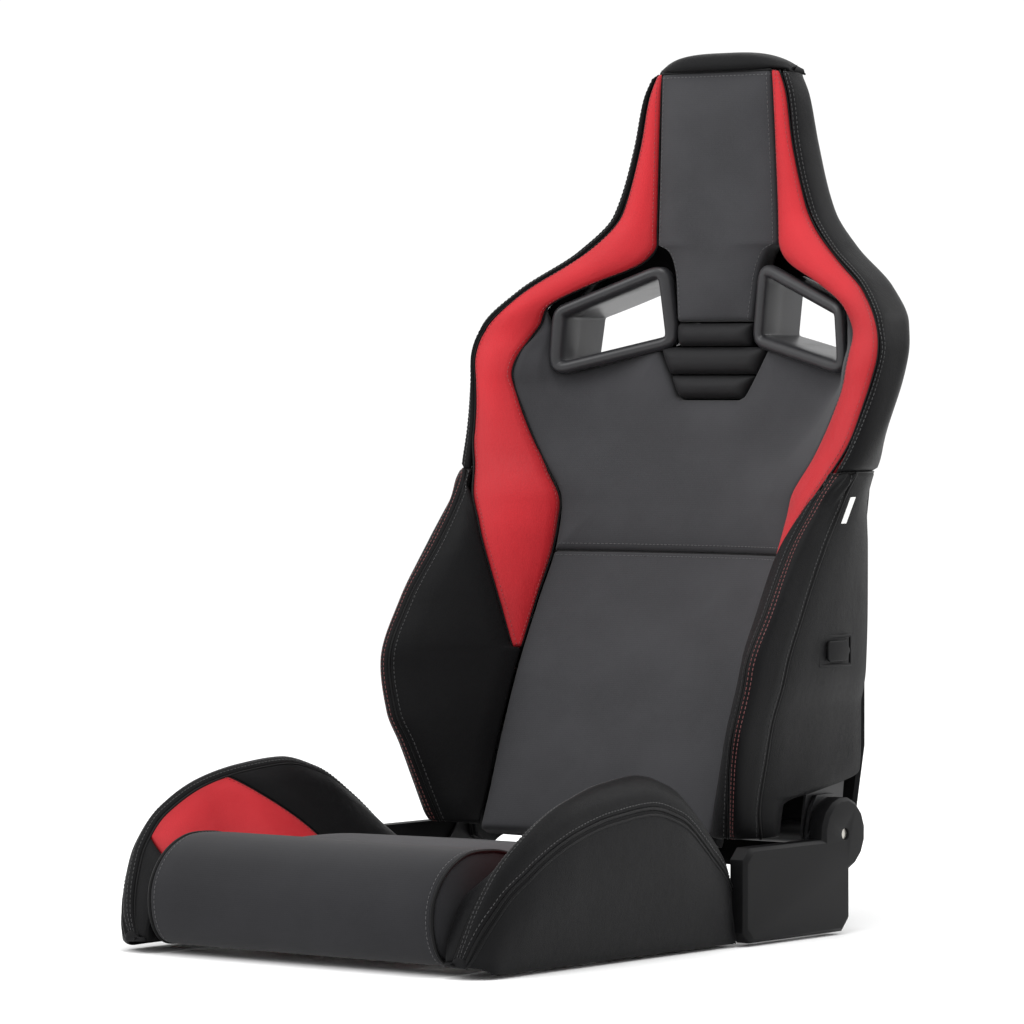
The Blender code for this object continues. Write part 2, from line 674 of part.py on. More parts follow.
def back_bolster(side, label):
    """Lower side bolster: inner face, front band and side panel round the frame."""
    sections = []
    skin = BOLSTER_SKIN
    inside = BACK_PLATE_X + PLATE_THICK + FINE_GAP
    for z in (BOLSTER_BOTTOM_Z, *BOLSTER_ROWS_Z, SEAM_JOIN_Z, BOLSTER_TOP_Z):
        centre, in_x, in_y, ridge_x, ridge_y, out_x, out_y = station(ALL_BACK, z)
        inner_x = 2.0 * PAD_GAP + (wing_edge(z) if z >= RED_TIP_Z else in_x)
        inner_y = back_front(inner_x, z)
        side_x, side_y = station(SHELL_STATIONS, z)[1:]
        rear = side_y - SHELL_THICK - PAD_GAP
        flank = max(inside, side_x - skin, inner_x + SEAM_STEP)
        wide = max(side_x, out_x - 0.016, flank + SEAM_STEP)
        if z < PANEL_FOOT_Z:
            rear = PANEL_FRONT_Y
            if z < FLANK_FOOT_Z:
                flank = min(flank, lerp(ridge_x, out_x, 0.6))
            wide = max(out_x, flank + SEAM_STEP)
        points = [(inner_x, inner_y), (lerp(inner_x, ridge_x, 0.5), lerp(inner_y, ridge_y, 0.45)),
                  (ridge_x, ridge_y - 0.003), (lerp(ridge_x, out_x, 0.5), lerp(ridge_y, out_y, 0.35) - 0.004),
                  (out_x, out_y), (wide, rear), (flank, rear), (flank, out_y + 1.5 * skin),
                  (lerp(inner_x, flank, 0.5), max(inner_y + skin, ridge_y + 2.4 * skin)),
                  (inner_x, inner_y + 2.0 * skin)]
        sections.append([(side * x, y, z) for x, y in points])
    rings("back_bolster_" + label, sections, "black_leather")


def bezel_face(x):
    """Depth of the flat face that a belt slot's surround lies in."""
    return BEZEL_IN_Y - BEZEL_SLOPE * (abs(x) - BEZEL_IN_X)


def slot_bezel(side, label):
    """Raised surround and sleeve of one belt slot, lofted round its outline."""
    loops = [(slot_outline(side, t * RIM_WIDTH), lift) for t, lift in RIM_PROFILE]
    bore = slot_outline(side, RIM_WIDTH)
    wall = slot_outline(side, RIM_WIDTH - SLEEVE_WALL)
    sections = []
    for k in range(len(bore)):
        section = [(loop[k][0], bezel_face(loop[k][0]) + lift, loop[k][1]) for loop, lift in loops]
        deep = shell_rear(wall[k][0], wall[k][1]) + SLEEVE_PROUD
        section.append((bore[k][0], deep, bore[k][1]))
        section.append((wall[k][0], deep, wall[k][1]))
        section.append((wall[k][0], bezel_face(wall[k][0]) + RIM_PROFILE[0][1], wall[k][1]))
        sections.append(section)
    rings("slot_bezel_" + label, sections, "black_plastic", closed=True)


def shell_outline(z):
    return station(SHELL_STATIONS, z)[1]


def back_shell():
    rows = [row[0] for row in SHELL_STATIONS]
    front = []
    rear = []
    for z in rows:
        half = shell_outline(z)
        rear_row = []
        front_row = []
        for part in (-1.0, -0.92, -0.8, -0.6, -0.3, 0.0, 0.3, 0.6, 0.8, 0.92, 1.0):
            x = part * half
            y = shell_rear(x, z)
            rear_row.append((x, y, z))
            front_row.append((x * (1.0 - SHELL_THICK / half), y - SHELL_THICK, z))
        rear.append(rear_row)
        front.append(front_row)
    obj = slab("back_shell", front, rear, "black_plastic")
    hole = RIM_WIDTH - SLEEVE_WALL - FINE_GAP
    cutters = [slot_cutter(side, hole) for side in (-1, 1)]
    for cutter in cutters:
        cut(obj, cutter)
    drop(cutters)


# ---- backrest frame ------------------------------------------------------------------------------
def from_axis(outline):
    """Outline given from the recliner axis, as depth and height in the seat."""
    return [(PIVOT_Y + y, PIVOT_Z + z) for y, z in outline]


def back_side_frame(side, label):
    """Pressed side plate, bored for the torque tube, leaning with the backrest."""
    outline = from_axis(BACK_PLATE_OUTLINE)
    x0 = BACK_PLATE_X
    x1 = BACK_PLATE_X + PLATE_THICK
    obj = plate("back_side_frame_" + label, side * x0, side * x1, outline, "dark_steel")
    bore = x_cylinder("bore", side * (x0 - TUBE_RADIUS), side * (x1 + TUBE_RADIUS), PIVOT_Y, PIVOT_Z,
                      TORQUE_TUBE_R + FINE_GAP, 24, "dark_steel")
    cut(obj, bore)
    drop([bore])


def back_cross_members():
    half = BACK_PLATE_X - GAP
    bore = TUBE_RADIUS - TUBE_WALL
    x_tube("back_lower_tube", -half, half, LOWER_TUBE_Y, LOWER_TUBE_Z,
           TUBE_RADIUS, bore, TUBE_SIDES, "dark_steel")
    half = [(x, y - THIN_TUBE, z) for x, y, z in HOOP_REAR_LINE]
    path = half + [(-x, y, z) for x, y, z in reversed(half[:-1])]
    pipe("back_hoop", path, THIN_TUBE, TUBE_SIDES, "dark_steel")
    reach = BACK_PLATE_X - SEAM_STEP
    path = [(reach * part, UPPER_TUBE_Y + UPPER_TUBE_BOW * (1.0 - part * part), UPPER_TUBE_Z)
            for part in steps(-1.0, 1.0, 10)]
    pipe("back_upper_tube", path, THIN_TUBE, TUBE_SIDES, "dark_steel")


def back_springs():
    """Wires across the frame that carry the lower back pad."""
    reach = BACK_PLATE_X - PAD_GAP
    for label, y, z in SPRINGS:
        path = [(reach * part, y + SPRING_BOW * (1.0 - part * part), z) for part in steps(-1.0, 1.0, 8)]
        pipe("back_spring_" + label, path, WIRE_RADIUS, WIRE_SIDES, "zinc_steel")


def lever_set(side, label):
    """Fold lever in its pocket, and the latch pawl it turns."""
    x_in = POCKET_IN_X
    pocket_out = POCKET_OUT_X
    ys = (LEVER_Y - POCKET_Y / 2, LEVER_Y + POCKET_Y / 2)
    zs = (LEVER_Z - POCKET_Z / 2, LEVER_Z + POCKET_Z / 2)
    inner = POCKET_WALL
    outline = [(ys[0], zs[0]), (ys[1], zs[0]), (ys[1], zs[1]), (ys[0], zs[1])]
    hole = [(ys[0] + inner, zs[0] + inner), (ys[1] - inner, zs[0] + inner), (ys[1] - inner, zs[1] - inner),
            (ys[0] + inner, zs[1] - inner)]
    frame = [[(side * x_in, a[0], a[1]), (side * pocket_out, a[0], a[1]), (side * pocket_out, b[0], b[1]),
              (side * x_in, b[0], b[1])] for a, b in zip(outline, hole)]
    rings("lever_pocket_" + label, frame, "black_plastic", closed=True)
    y1 = LEVER_PIVOT_Y
    y0 = y1 - LEVER_LONG + LEVER_TAIL
    nose = LEVER_NOSE
    low = LEVER_Z - LEVER_TALL / 2
    high = LEVER_Z + LEVER_TALL / 2
    profile = [(y0, low + nose), (y0 + nose, low), (y1 - nose, low), (y1 + nose, LEVER_Z), (y1 - nose, high),
               (y0 + nose, high), (y0, high - nose)]
    near = side * (pocket_out + GAP)
    far = side * (pocket_out + LEVER_THICK)
    obj = plate("fold_lever_" + label, near, far, profile, "black_plastic")
    pivot = (side * pocket_out, LEVER_PIVOT_Y, LEVER_Z)
    set_origin(obj, pivot)
    x0 = BACK_PLATE_X - FINE_GAP
    tip_z = PIVOT_Z + TORQUE_TUBE_R + PAWL_TIP_GAP
    outline = [(PAWL_Y - PAWL_TIP_HALF, tip_z), (PAWL_Y + PAWL_TIP_HALF, tip_z)]
    outline += [(PAWL_Y + y, PAWL_Z + z) for y, z in PAWL_OUTLINE]
    pawl = plate("latch_pawl_" + label, side * (x0 - PAWL_THICK), side * x0, outline, "zinc_steel")
    set_origin(pawl, (side * x0, PAWL_Y, PAWL_Z))


def set_origin(obj, place):
    for vert in obj.data.vertices:
        vert.co = (vert.co[0] - place[0], vert.co[1] - place[1], vert.co[2] - place[2])
    obj.location = place


def side_tag():
    """Small blank sewn tag on the sitter's left side of the backrest."""
    lean = TAG_LEAN
    corners = [(-TAG_HALF_Y - lean, -TAG_HALF_Z), (TAG_HALF_Y - lean, -TAG_HALF_Z),
               (TAG_HALF_Y + lean, TAG_HALF_Z), (lean - TAG_HALF_Y, TAG_HALF_Z)]
    outline = [(TAG_Y + a, TAG_Z + b) for a, b in corners]
    plate("side_tag", TAG_X, TAG_X + TAG_THICK, outline, "white_tag")


# ---- seat base -----------------------------------------------------------------------------------
def seat_cushion():
    front = []
    rear = []
    for i, y in enumerate(steps(CUSHION_FRONT_Y + PAD_GAP, CUSHION_REAR_Y, 9)):
        t = i / 9
        top = lerp(CUSHION_FRONT_Z, CUSHION_REAR_Z, t)
        top_row = []
        low_row = []
        for part in steps(-1.0, 1.0, 8):
            bump = CUSHION_CROWN * (1.0 - abs(part) ** 3) * (1.0 - abs(2.0 * t - 1.0) ** 4)
            x = part * CUSHION_HALF
            top_row.append((x, y, top - 0.006 + bump))
            low_row.append((x, y, CUSHION_UNDER_Z))
        front.append(top_row)
        rear.append(low_row)
    slab("seat_cushion", front, rear, "grey_cloth")


def thigh_roll():
    sections = [[(x, y, z) for y, z in ROLL_SECTION] for x in steps(-ROLL_HALF, ROLL_HALF, 4)]
    rings("thigh_roll", sections, "grey_cloth")


def bolster_inner_face(y):
    """Foot and ridge of the base bolster's inner face, as two (x, z) points."""
    ridge_z, foot_x, in_x, out_x = station(BASE_STATIONS, y)
    return (foot_x, min(0.080, ridge_z * 0.72)), (in_x, ridge_z - 0.003)


def base_bolster(side, label):
    sections = []
    for row in BASE_STATIONS:
        y, ridge_z, foot_x, in_x, out_x = row
        foot, ridge = bolster_inner_face(y)
        low = BOLSTER_LOW_Z
        inner_low = low + GAP if y < FRONT_FILL_Y else BOLSTER_FOOT_Z
        hollow = min(BOLSTER_HOLLOW_Z, ridge_z - 0.016)
        drop_z = min(BAND_DROP, BAND_DROP_SHARE * ridge_z)
        mid_x = lerp(in_x, out_x, 0.5)
        core = BOLSTER_CORE_X
        points = [(foot_x, inner_low), foot, ridge, (mid_x, ridge_z + 0.003), (out_x, ridge_z - drop_z),
                  (out_x + 0.001, lerp(low, ridge_z, 0.5)), (max(BOLSTER_SKIRT_X, out_x - 0.006), low),
                  (BOLSTER_SKIRT_X - SKIRT_WALL, low), (BOLSTER_SKIRT_X - SKIRT_WALL, hollow),
                  (core, hollow), (core, inner_low)]
        sections.append([(side * x, y, z) for x, z in points])
    rings("base_bolster_" + label, sections, "black_leather")


def red_panel(side, label):
    """Red facing sewn on the inner side of the base bolster."""
    front = []
    rear = []
    off = RED_PANEL_LIFT
    rows = [row[0] for row in BASE_STATIONS if RED_PANEL_FRONT_Y <= row[0] <= RED_PANEL_REAR_Y]
    for i, y in enumerate(rows):
        foot, ridge = bolster_inner_face(y)
        dx = ridge[0] - foot[0]
        dz = ridge[1] - foot[1]
        size = math.hypot(dx, dz)
        nx = -dz / size
        nz = dx / size
        reach = RED_PANEL_REACH[i]
        row = []
        back = []
        for t in steps(RED_PANEL_FOOT, RED_PANEL_FOOT + RED_PANEL_CLIMB * reach, 2):
            x = lerp(foot[0], ridge[0], t)
            z = lerp(foot[1], ridge[1], t)
            row.append((side * (x + nx * (RED_PANEL_THICK + off)), y, z + nz * (RED_PANEL_THICK + off)))
            back.append((side * (x + nx * off), y, z + nz * off))
        front.append(row)
        rear.append(back)
    slab("red_panel_" + label, front, rear, "red_leather")


def base_side_frame(side, label):
    """Long side plate with the fixed recliner plate at its rear."""
    outline = from_axis(BASE_PLATE_OUTLINE)
    x0 = BASE_PLATE_X
    x1 = BASE_PLATE_X + PLATE_THICK
    obj = plate("base_side_frame_" + label, side * x0, side * x1, outline, "dark_steel")
    bore = x_cylinder("bore", side * (x0 - TUBE_RADIUS), side * (x1 + TUBE_RADIUS), PIVOT_Y, PIVOT_Z,
                      SHAFT_R + FINE_GAP, 24, "dark_steel")
    cut(obj, bore)
    drop([bore])


def base_cross_members():
    half = BASE_PLATE_X - GAP
    bore = TUBE_RADIUS - TUBE_WALL
    for label, y in (("front", FRONT_TUBE_Y), ("middle", MOUNT_FRONT_Y), ("rear", MOUNT_REAR_Y)):
        x_tube("base_tube_" + label, -half, half, y, TUBE_Z, TUBE_RADIUS, bore, TUBE_SIDES, "dark_steel")


def seat_pan():
    """Thin dished pan under the cushion."""
    front = []
    rear = []
    for y in steps(-0.262, CUSHION_REAR_Y - 0.004, 6):
        top = []
        low = []
        for part in steps(-1.0, 1.0, 6):
            x = part * (CUSHION_HALF - 0.004)
            top.append((x, y, CUSHION_UNDER_Z - FINE_GAP))
            low.append((x, y, CUSHION_UNDER_Z - FINE_GAP - 0.0015))
        front.append(top)
        rear.append(low)
    slab("seat_pan", front, rear, "dark_steel")


def mount_foot(side, y, label):
    """Mounting boss hung on a bracket inboard of the side plate."""
    half = MOUNT_SIZE / 2
    top = MOUNT_HEIGHT
    x = side * MOUNT_HALF_X
    ring = [(x + a, y + b) for a, b in circle(half, MOUNT_SIDES)]
    rings("mount_boss_" + label, [[(a, b, z) for a, b in ring] for z in (0.0, top)], "zinc_steel")


def cover_outline(inset):
    """Side cover's edge: round over the recliner, then down and forward along the base."""
    radius = COVER_RADIUS - inset
    front = COVER_FRONT_Y + inset
    rear = COVER_REAR_Y - inset
    low = COVER_LOW_Z + inset
    top = COVER_TOP_Z - inset
    corner = COVER_CORNER
    first = -math.acos((rear - PIVOT_Y) / radius)
    last = math.pi - math.asin((top - PIVOT_Z) / radius) if top > PIVOT_Z - radius else math.pi
    points = [(rear - corner, low), (rear, low + corner)]
    for k in range(COVER_ARC + 1):
        turn = lerp(first, last, k / COVER_ARC)
        points.append((PIVOT_Y + radius * math.cos(turn), PIVOT_Z + radius * math.sin(turn)))
    points += [(front + corner, top), (front, top - corner)]
    return points + [(front, low + corner), (front + corner, low)]


def side_cover(side, label):
    """Moulded cover over the recliner and the base's rear side."""
    outline = cover_outline(0.0)
    x0 = BASE_PLATE_X + PLATE_THICK + FINE_GAP
    mid = COVER_OUT_X - COVER_EDGE
    inner = cover_outline(COVER_EDGE)
    sections = [[(side * x0, y, z) for y, z in outline], [(side * mid, y, z) for y, z in outline],
                [(side * COVER_OUT_X, y, z) for y, z in inner]]
    obj = rings("side_cover_" + label, sections, "black_plastic")
    bore = x_cylinder("bore", side * (x0 - TUBE_RADIUS), side * (COVER_OUT_X + TUBE_RADIUS), PIVOT_Y, PIVOT_Z,
                      SHAFT_R + FINE_GAP, 24, "dark_steel")
    cut(obj, bore)
    drop([bore])


# ---- recliner ------------------------------------------------------------------------------------
def recliner_plate(side, label):
    """Moving recliner plate that carries the backrest."""
    outline = from_axis(RECLINER_OUTLINE)
    x1 = LINK_PLATE_X + LINK_THICK
    obj = plate("recliner_plate_" + label, side * LINK_PLATE_X, side * x1, outline, "zinc_steel")
    bore = x_cylinder("bore", side * (LINK_PLATE_X - TUBE_RADIUS), side * (x1 + TUBE_RADIUS), PIVOT_Y, PIVOT_Z,
                      SHAFT_R + FINE_GAP, 24, "zinc_steel")
    cut(obj, bore)
    drop([bore])
    set_origin(obj, (side * LINK_PLATE_X, PIVOT_Y, PIVOT_Z))


def torque_tube():
    half = LINK_PLATE_X - GAP
    obj = x_tube("torque_tube", -half, half, PIVOT_Y, PIVOT_Z, TORQUE_TUBE_R, TORQUE_BORE_R, 20, "dark_steel")
    set_origin(obj, (0.0, PIVOT_Y, PIVOT_Z))


def adjuster():
    """Cross shaft that drives both recliners, with its handwheel and cap."""
    x0 = COVER_OUT_X - SHAFT_SHORT
    obj = x_cylinder("adjuster_shaft", x0, GAP - WHEEL_IN_X, PIVOT_Y, PIVOT_Z,
                     SHAFT_R, MOUNT_SIDES, "zinc_steel")
    set_origin(obj, (0.0, PIVOT_Y, PIVOT_Z))
    sides = WHEEL_LOBES * 4
    sections = []
    for x, scale in WHEEL_PROFILE:
        ring = []
        for k in range(sides):
            turn = math.tau * k / sides
            radius = WHEEL_RADIUS * scale * (1.0 + 0.025 * math.cos(WHEEL_LOBES * turn))
            ring.append((-x, PIVOT_Y + radius * math.cos(turn), PIVOT_Z + radius * math.sin(turn)))
        sections.append(ring)
    obj = rings("handwheel", sections, "black_plastic")
    set_origin(obj, (-WHEEL_IN_X, PIVOT_Y, PIVOT_Z))
    outer = -WHEEL_OUT_X - GAP
    obj = x_cylinder("handwheel_cap", outer, outer - CAP_THICK, PIVOT_Y, PIVOT_Z, CAP_RADIUS, 24, "black_plastic")
    set_origin(obj, (-WHEEL_OUT_X, PIVOT_Y, PIVOT_Z))


# ---- build ---------------------------------------------------------------------------------------
def build():
    clear_scene()
    lower_back_cushion()
    upper_back_cushion()
    chest_pads()
    head_cushion()
    head_cap()
    back_shell()
    back_cross_members()
    back_springs()
    seat_cushion()
    thigh_roll()
    seat_pan()
    base_cross_members()
    torque_tube()
    adjuster()
    side_tag()
    for side, label in ((1, "left"), (-1, "right")):
        red_wing(side, label)
        outer_band(side, label)
        back_bolster(side, label)
        slot_bezel(side, label)
        back_side_frame(side, label)
        lever_set(side, label)
        base_bolster(side, label)
        red_panel(side, label)
        base_side_frame(side, label)
        side_cover(side, label)
        recliner_plate(side, label)
        mount_foot(side, MOUNT_FRONT_Y, "front_" + label)
        mount_foot(side, MOUNT_REAR_Y, "rear_" + label)


build()
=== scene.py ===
"""Reclining racing seat: sewn covers, piping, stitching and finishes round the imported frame."""
import json
import math

import bmesh
import bpy
import numpy as np
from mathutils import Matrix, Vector

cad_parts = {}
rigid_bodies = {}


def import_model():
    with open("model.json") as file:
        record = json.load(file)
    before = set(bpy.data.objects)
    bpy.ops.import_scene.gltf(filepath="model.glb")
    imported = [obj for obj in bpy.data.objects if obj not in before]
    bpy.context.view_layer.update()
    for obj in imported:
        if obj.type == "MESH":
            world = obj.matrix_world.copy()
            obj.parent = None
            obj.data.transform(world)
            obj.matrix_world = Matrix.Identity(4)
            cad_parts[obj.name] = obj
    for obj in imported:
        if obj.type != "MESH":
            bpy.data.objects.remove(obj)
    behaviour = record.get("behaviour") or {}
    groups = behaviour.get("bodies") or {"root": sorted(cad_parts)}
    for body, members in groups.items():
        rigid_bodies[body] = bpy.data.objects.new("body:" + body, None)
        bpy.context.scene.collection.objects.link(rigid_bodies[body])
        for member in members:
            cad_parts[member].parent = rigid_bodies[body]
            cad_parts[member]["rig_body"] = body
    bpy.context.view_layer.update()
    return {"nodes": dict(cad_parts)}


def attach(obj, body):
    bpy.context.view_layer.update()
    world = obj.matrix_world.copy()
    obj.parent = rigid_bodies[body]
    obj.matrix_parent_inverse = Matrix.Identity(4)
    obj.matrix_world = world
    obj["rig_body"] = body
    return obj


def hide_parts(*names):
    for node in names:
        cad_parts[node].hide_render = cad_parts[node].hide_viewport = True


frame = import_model()
NODES = frame["nodes"]

# ---- shape of the covers, in the seat's own frame ---------------------------------------
BACK_STATIONS = (
    (0.100, 0.118, 0.157, 0.108, 0.195, 0.092, 0.222, 0.116),
    (0.140, 0.138, 0.157, 0.124, 0.205, 0.078, 0.228, 0.104),
    (0.196, 0.166, 0.158, 0.145, 0.2190, 0.061, 0.2420, 0.098),
    (0.230, 0.183, 0.158, 0.158, 0.2310, 0.052, 0.2520, 0.093),
    (0.286, 0.211, 0.158, 0.182, 0.2430, 0.055, 0.2635, 0.102),
    (0.350, 0.246, 0.158, 0.215, 0.2450, 0.090, 0.2650, 0.132),
    (0.420, 0.275, 0.157, 0.250, 0.2400, 0.1440, 0.2640, 0.175),
    (0.464, 0.292, 0.159, 0.260, 0.2430, 0.181, 0.2610, 0.210),
    (0.517, 0.311, 0.190, 0.262, 0.256, 0.218, 0.272, 0.238),
    (0.560, 0.323, 0.212, 0.262, 0.265, 0.236, 0.278, 0.256),
    (0.600, 0.330, 0.228, 0.260, 0.274, 0.247, 0.283, 0.272),
    (0.6275, 0.332, 0.228, 0.270, 0.2785, 0.252, 0.285, 0.282),
    (0.660, 0.3340, 0.200, 0.308, 0.268, 0.262, 0.279, 0.292),
    (0.700, 0.3380, 0.130, 0.332, 0.232, 0.287, 0.246, 0.312),
    (0.744, 0.3405, 0.084, 0.3405, 0.168, 0.318, 0.184, 0.336),
    (0.785, 0.3405, 0.0825, 0.3405, 0.130, 0.333, 0.144, 0.352),
    (0.860, 0.3395, 0.0795, 0.3395, 0.106, 0.337, 0.118, 0.356),
    (0.915, 0.3380, 0.0770, 0.3380, 0.096, 0.340, 0.1065, 0.358),
    (0.9440, 0.3370, 0.0755, 0.3370, 0.0845, 0.343, 0.0925, 0.360),
)
SHELL_STATIONS = (
    (0.060, 0.288, 0.222, 0.278),
    (0.100, 0.296, 0.227, 0.281),
    (0.200, 0.318, 0.2415, 0.282),
    (0.320, 0.345, 0.2405, 0.283),
    (0.430, 0.370, 0.2400, 0.285),
    (0.520, 0.390, 0.2430, 0.296),
    (0.610, 0.404, 0.260, 0.322),
    (0.660, 0.405, 0.256, 0.334),
    (0.700, 0.405, 0.224, 0.350),
    (0.744, 0.405, 0.164, 0.372),
    (0.785, 0.405, 0.126, 0.384),
    (0.860, 0.403, 0.102, 0.388),
    (0.935, 0.398, 0.086, 0.384),
)
BASE_STATIONS = (
    (-0.3985, 0.018, 0.200, 0.210, 0.226),
    (-0.3965, 0.034, 0.199, 0.216, 0.232),
    (-0.390, 0.058, 0.197, 0.222, 0.239),
    (-0.378, 0.084, 0.196, 0.228, 0.246),
    (-0.360, 0.111, 0.195, 0.234, 0.252),
    (-0.320, 0.143, 0.193, 0.240, 0.259),
    (-0.262, 0.168, 0.1925, 0.240, 0.262),
    (-0.200, 0.181, 0.168, 0.234, 0.262),
    (-0.136, 0.186, 0.166, 0.229, 0.261),
    (-0.080, 0.173, 0.166, 0.225, 0.259),
    (-0.030, 0.142, 0.166, 0.218, 0.254),
    (0.012, 0.106, 0.166, 0.211, 0.248),
    (0.034, 0.082, 0.166, 0.205, 0.242),
)
SPLIT_Z = 0.407
BACK_BOTTOM_Z = 0.102
RED_TIP_Z = 0.300
SEAM_JOIN_Z = 0.480
HEAD_SEAM_Z = 0.944
HEAD_TOP_Z = 0.965
BAND_LOW_Z = 0.498
SLOT_CORNER = 0.021
SLOT_OUTLINE = ((0.063, 0.733), (0.200, 0.680), (0.207, 0.600), (0.051, 0.636))
BEZEL_IN_Y = 0.341
BEZEL_IN_X = 0.055
BEZEL_SLOPE = 0.26
SEAM_GAP = 0.0003
STITCH_LIFT = 0.0001


# ---- curves -------------------------------------------------------------------------------
class Blend:
    """Smooth curve through a table's rows that never overshoots them."""

    def __init__(self, table):
        rows = np.array(table, float)
        self.key = rows[:, 0]
        self.val = rows[:, 1:]
        step = np.diff(self.key)[:, None]
        rise = np.diff(self.val, axis=0) / step
        slope = np.zeros_like(self.val)
        slope[0], slope[-1] = rise[0], rise[-1]
        same = rise[:-1] * rise[1:] > 0
        mean = np.where(same, 2 * rise[:-1] * rise[1:] / np.where(same, rise[:-1] + rise[1:], 1), 0)
        slope[1:-1] = mean
        self.slope = slope

    def __call__(self, at):
        at = np.clip(np.asarray(at, float), self.key[0], self.key[-1])
        i = np.clip(np.searchsorted(self.key, at) - 1, 0, len(self.key) - 2)
        width = self.key[i + 1] - self.key[i]
        t = ((at - self.key[i]) / width)[..., None]
        w = width[..., None]
        a, b, sa, sb = self.val[i], self.val[i + 1], self.slope[i], self.slope[i + 1]
        out = (a * (1 + 2 * t) * (1 - t) ** 2 + w * sa * t * (1 - t) ** 2
               + b * t * t * (3 - 2 * t) - w * sb * t * t * (1 - t))
        return np.moveaxis(out, -1, 0)


BACK = Blend(BACK_STATIONS)
SHELL = Blend(SHELL_STATIONS)
BASE = Blend(BASE_STATIONS)


def smooth(t):
    t = np.clip(t, 0, 1)
    return t * t * (3 - 2 * t)


def insert_power(z):
    """How sharply the back insert turns forward at its edge."""
    return 3.0 + 5.0 * smooth((np.asarray(z) - 0.47) / 0.12)


def back_y(x, z):
    """Depth of the backrest's front at half width x and height z."""
    x = np.abs(x)
    c, ix, iy, rx, ry, ox, oy = BACK(z)
    inner = c + (iy - c) * np.clip(x / ix, 0, 1) ** insert_power(z)
    t = np.clip((x - ix) / (rx - ix), 0, 1)
    wing = iy + (ry - iy) * t - 0.10 * (rx - ix) * np.sin(math.pi * t)
    s = np.clip((x - rx) / (ox - rx), 0, 1)
    outer = ry + (oy - ry) * s
    return np.where(x <= ix, inner, np.where(x <= rx, wing, outer))


def shell_y(x, z):
    c, sx, sy = SHELL(z)
    return c + (sy - c) * np.clip(np.abs(x) / sx, 0, 1) ** 3


def wing_edge(z):
    """Half width of the wing's outer seam where the lower bolster meets it."""
    t = np.clip((SEAM_JOIN_Z - z) / (SEAM_JOIN_Z - RED_TIP_Z), 0, 1)
    high = BACK(SEAM_JOIN_Z)[3] - 0.004
    return high + (BACK(RED_TIP_Z)[1] + 0.006 - high) * t ** 0.75


def resample(points, count, ease=None):
    """Points spaced by arc length along a polyline, closer together at its ends on request."""
    p = np.array(points, float)
    run = np.concatenate([[0], np.cumsum(np.linalg.norm(np.diff(p, axis=0), axis=1))])
    t = spacing(run[-1], count) if ease else np.linspace(0, 1, count)
    return np.stack([np.interp(t * run[-1], run, p[:, k]) for k in range(p.shape[1])], axis=1)


def curved(points, per=8):
    """Catmull-Rom curve through a few points."""
    p = np.array(points, float)
    out = []
    for i in range(len(p) - 1):
        a, b, c, d = p[max(i - 1, 0)], p[i], p[i + 1], p[min(i + 2, len(p) - 1)]
        for t in np.arange(per) / per:
            out.append(0.5 * (2 * b + (c - a) * t + (2 * a - 5 * b + 4 * c - d) * t * t + (3 * b - a - 3 * c + d) * t ** 3))
    out.append(p[-1])
    return np.array(out)


def spacing(length, count):
    """Shares of a length, with extra rows near both ends for a rolled edge."""
    near = [0, 0.0007, 0.0016, 0.0028, 0.0044, 0.0065, 0.0095]
    near = [n for n in near if n < 0.42 * length]
    low = np.array(near) / length
    middle = np.linspace(low[-1], 1 - low[-1], max(2, count - 2 * len(near) + 2))[1:-1]
    return np.concatenate([low, middle, 1 - low[::-1]])


def coons(bottom, top, left, right, cell=0.004):
    """Flat grid inside four joined edges, in the pattern's own two directions."""
    wide = max(np.linalg.norm(np.diff(bottom, axis=0), axis=1).sum(),
               np.linalg.norm(np.diff(top, axis=0), axis=1).sum())
    tall = max(np.linalg.norm(np.diff(left, axis=0), axis=1).sum(),
               np.linalg.norm(np.diff(right, axis=0), axis=1).sum())
    us = spacing(wide, int(wide / cell) + 12)
    vs = spacing(tall, int(tall / cell) + 12)

    def along(line, shares):
        p = np.array(line, float)
        run = np.concatenate([[0], np.cumsum(np.linalg.norm(np.diff(p, axis=0), axis=1))])
        return np.stack([np.interp(shares * run[-1], run, p[:, k]) for k in range(p.shape[1])], axis=1)

    lo, hi = along(bottom, us)[:, None], along(top, us)[:, None]
    le, ri = along(left, vs)[None], along(right, vs)[None]
    u, v = us[:, None, None], vs[None, :, None]
    c00, c10, c01, c11 = lo[0, 0], lo[-1, 0], hi[0, 0], hi[-1, 0]
    corners = (1 - u) * (1 - v) * c00 + u * (1 - v) * c10 + (1 - u) * v * c01 + u * v * c11
    return (1 - v) * lo + v * hi + (1 - u) * le + u * ri - corners


# ---- meshes ---------------------------------------------------------------------------------
MADE = []


def mesh_object(name, verts, faces, attributes=None):
    mesh = bpy.data.meshes.new(name)
    mesh.from_pydata([tuple(v) for v in verts], [], faces)
    for key, values in (attributes or {}).items():
        layer = mesh.attributes.new(key, "FLOAT", "POINT")
        layer.data.foreach_set("value", np.asarray(values, np.float32))
    work = bmesh.new()
    work.from_mesh(mesh)
    bmesh.ops.recalc_face_normals(work, faces=work.faces)
    work.to_mesh(mesh)
    work.free()
    mesh.polygons.foreach_set("use_smooth", [True] * len(mesh.polygons))
    obj = bpy.data.objects.new(name, mesh)
    bpy.context.scene.collection.objects.link(obj)
    MADE.append(obj)
    return obj


def grid_faces(rows, cols, base=0, flip=False):
    faces = []
    for i in range(rows - 1):
        for j in range(cols - 1):
            a = base + i * cols + j
            face = (a, a + 1, a + cols + 1, a + cols)
            faces.append(face[::-1] if flip else face)
    return faces


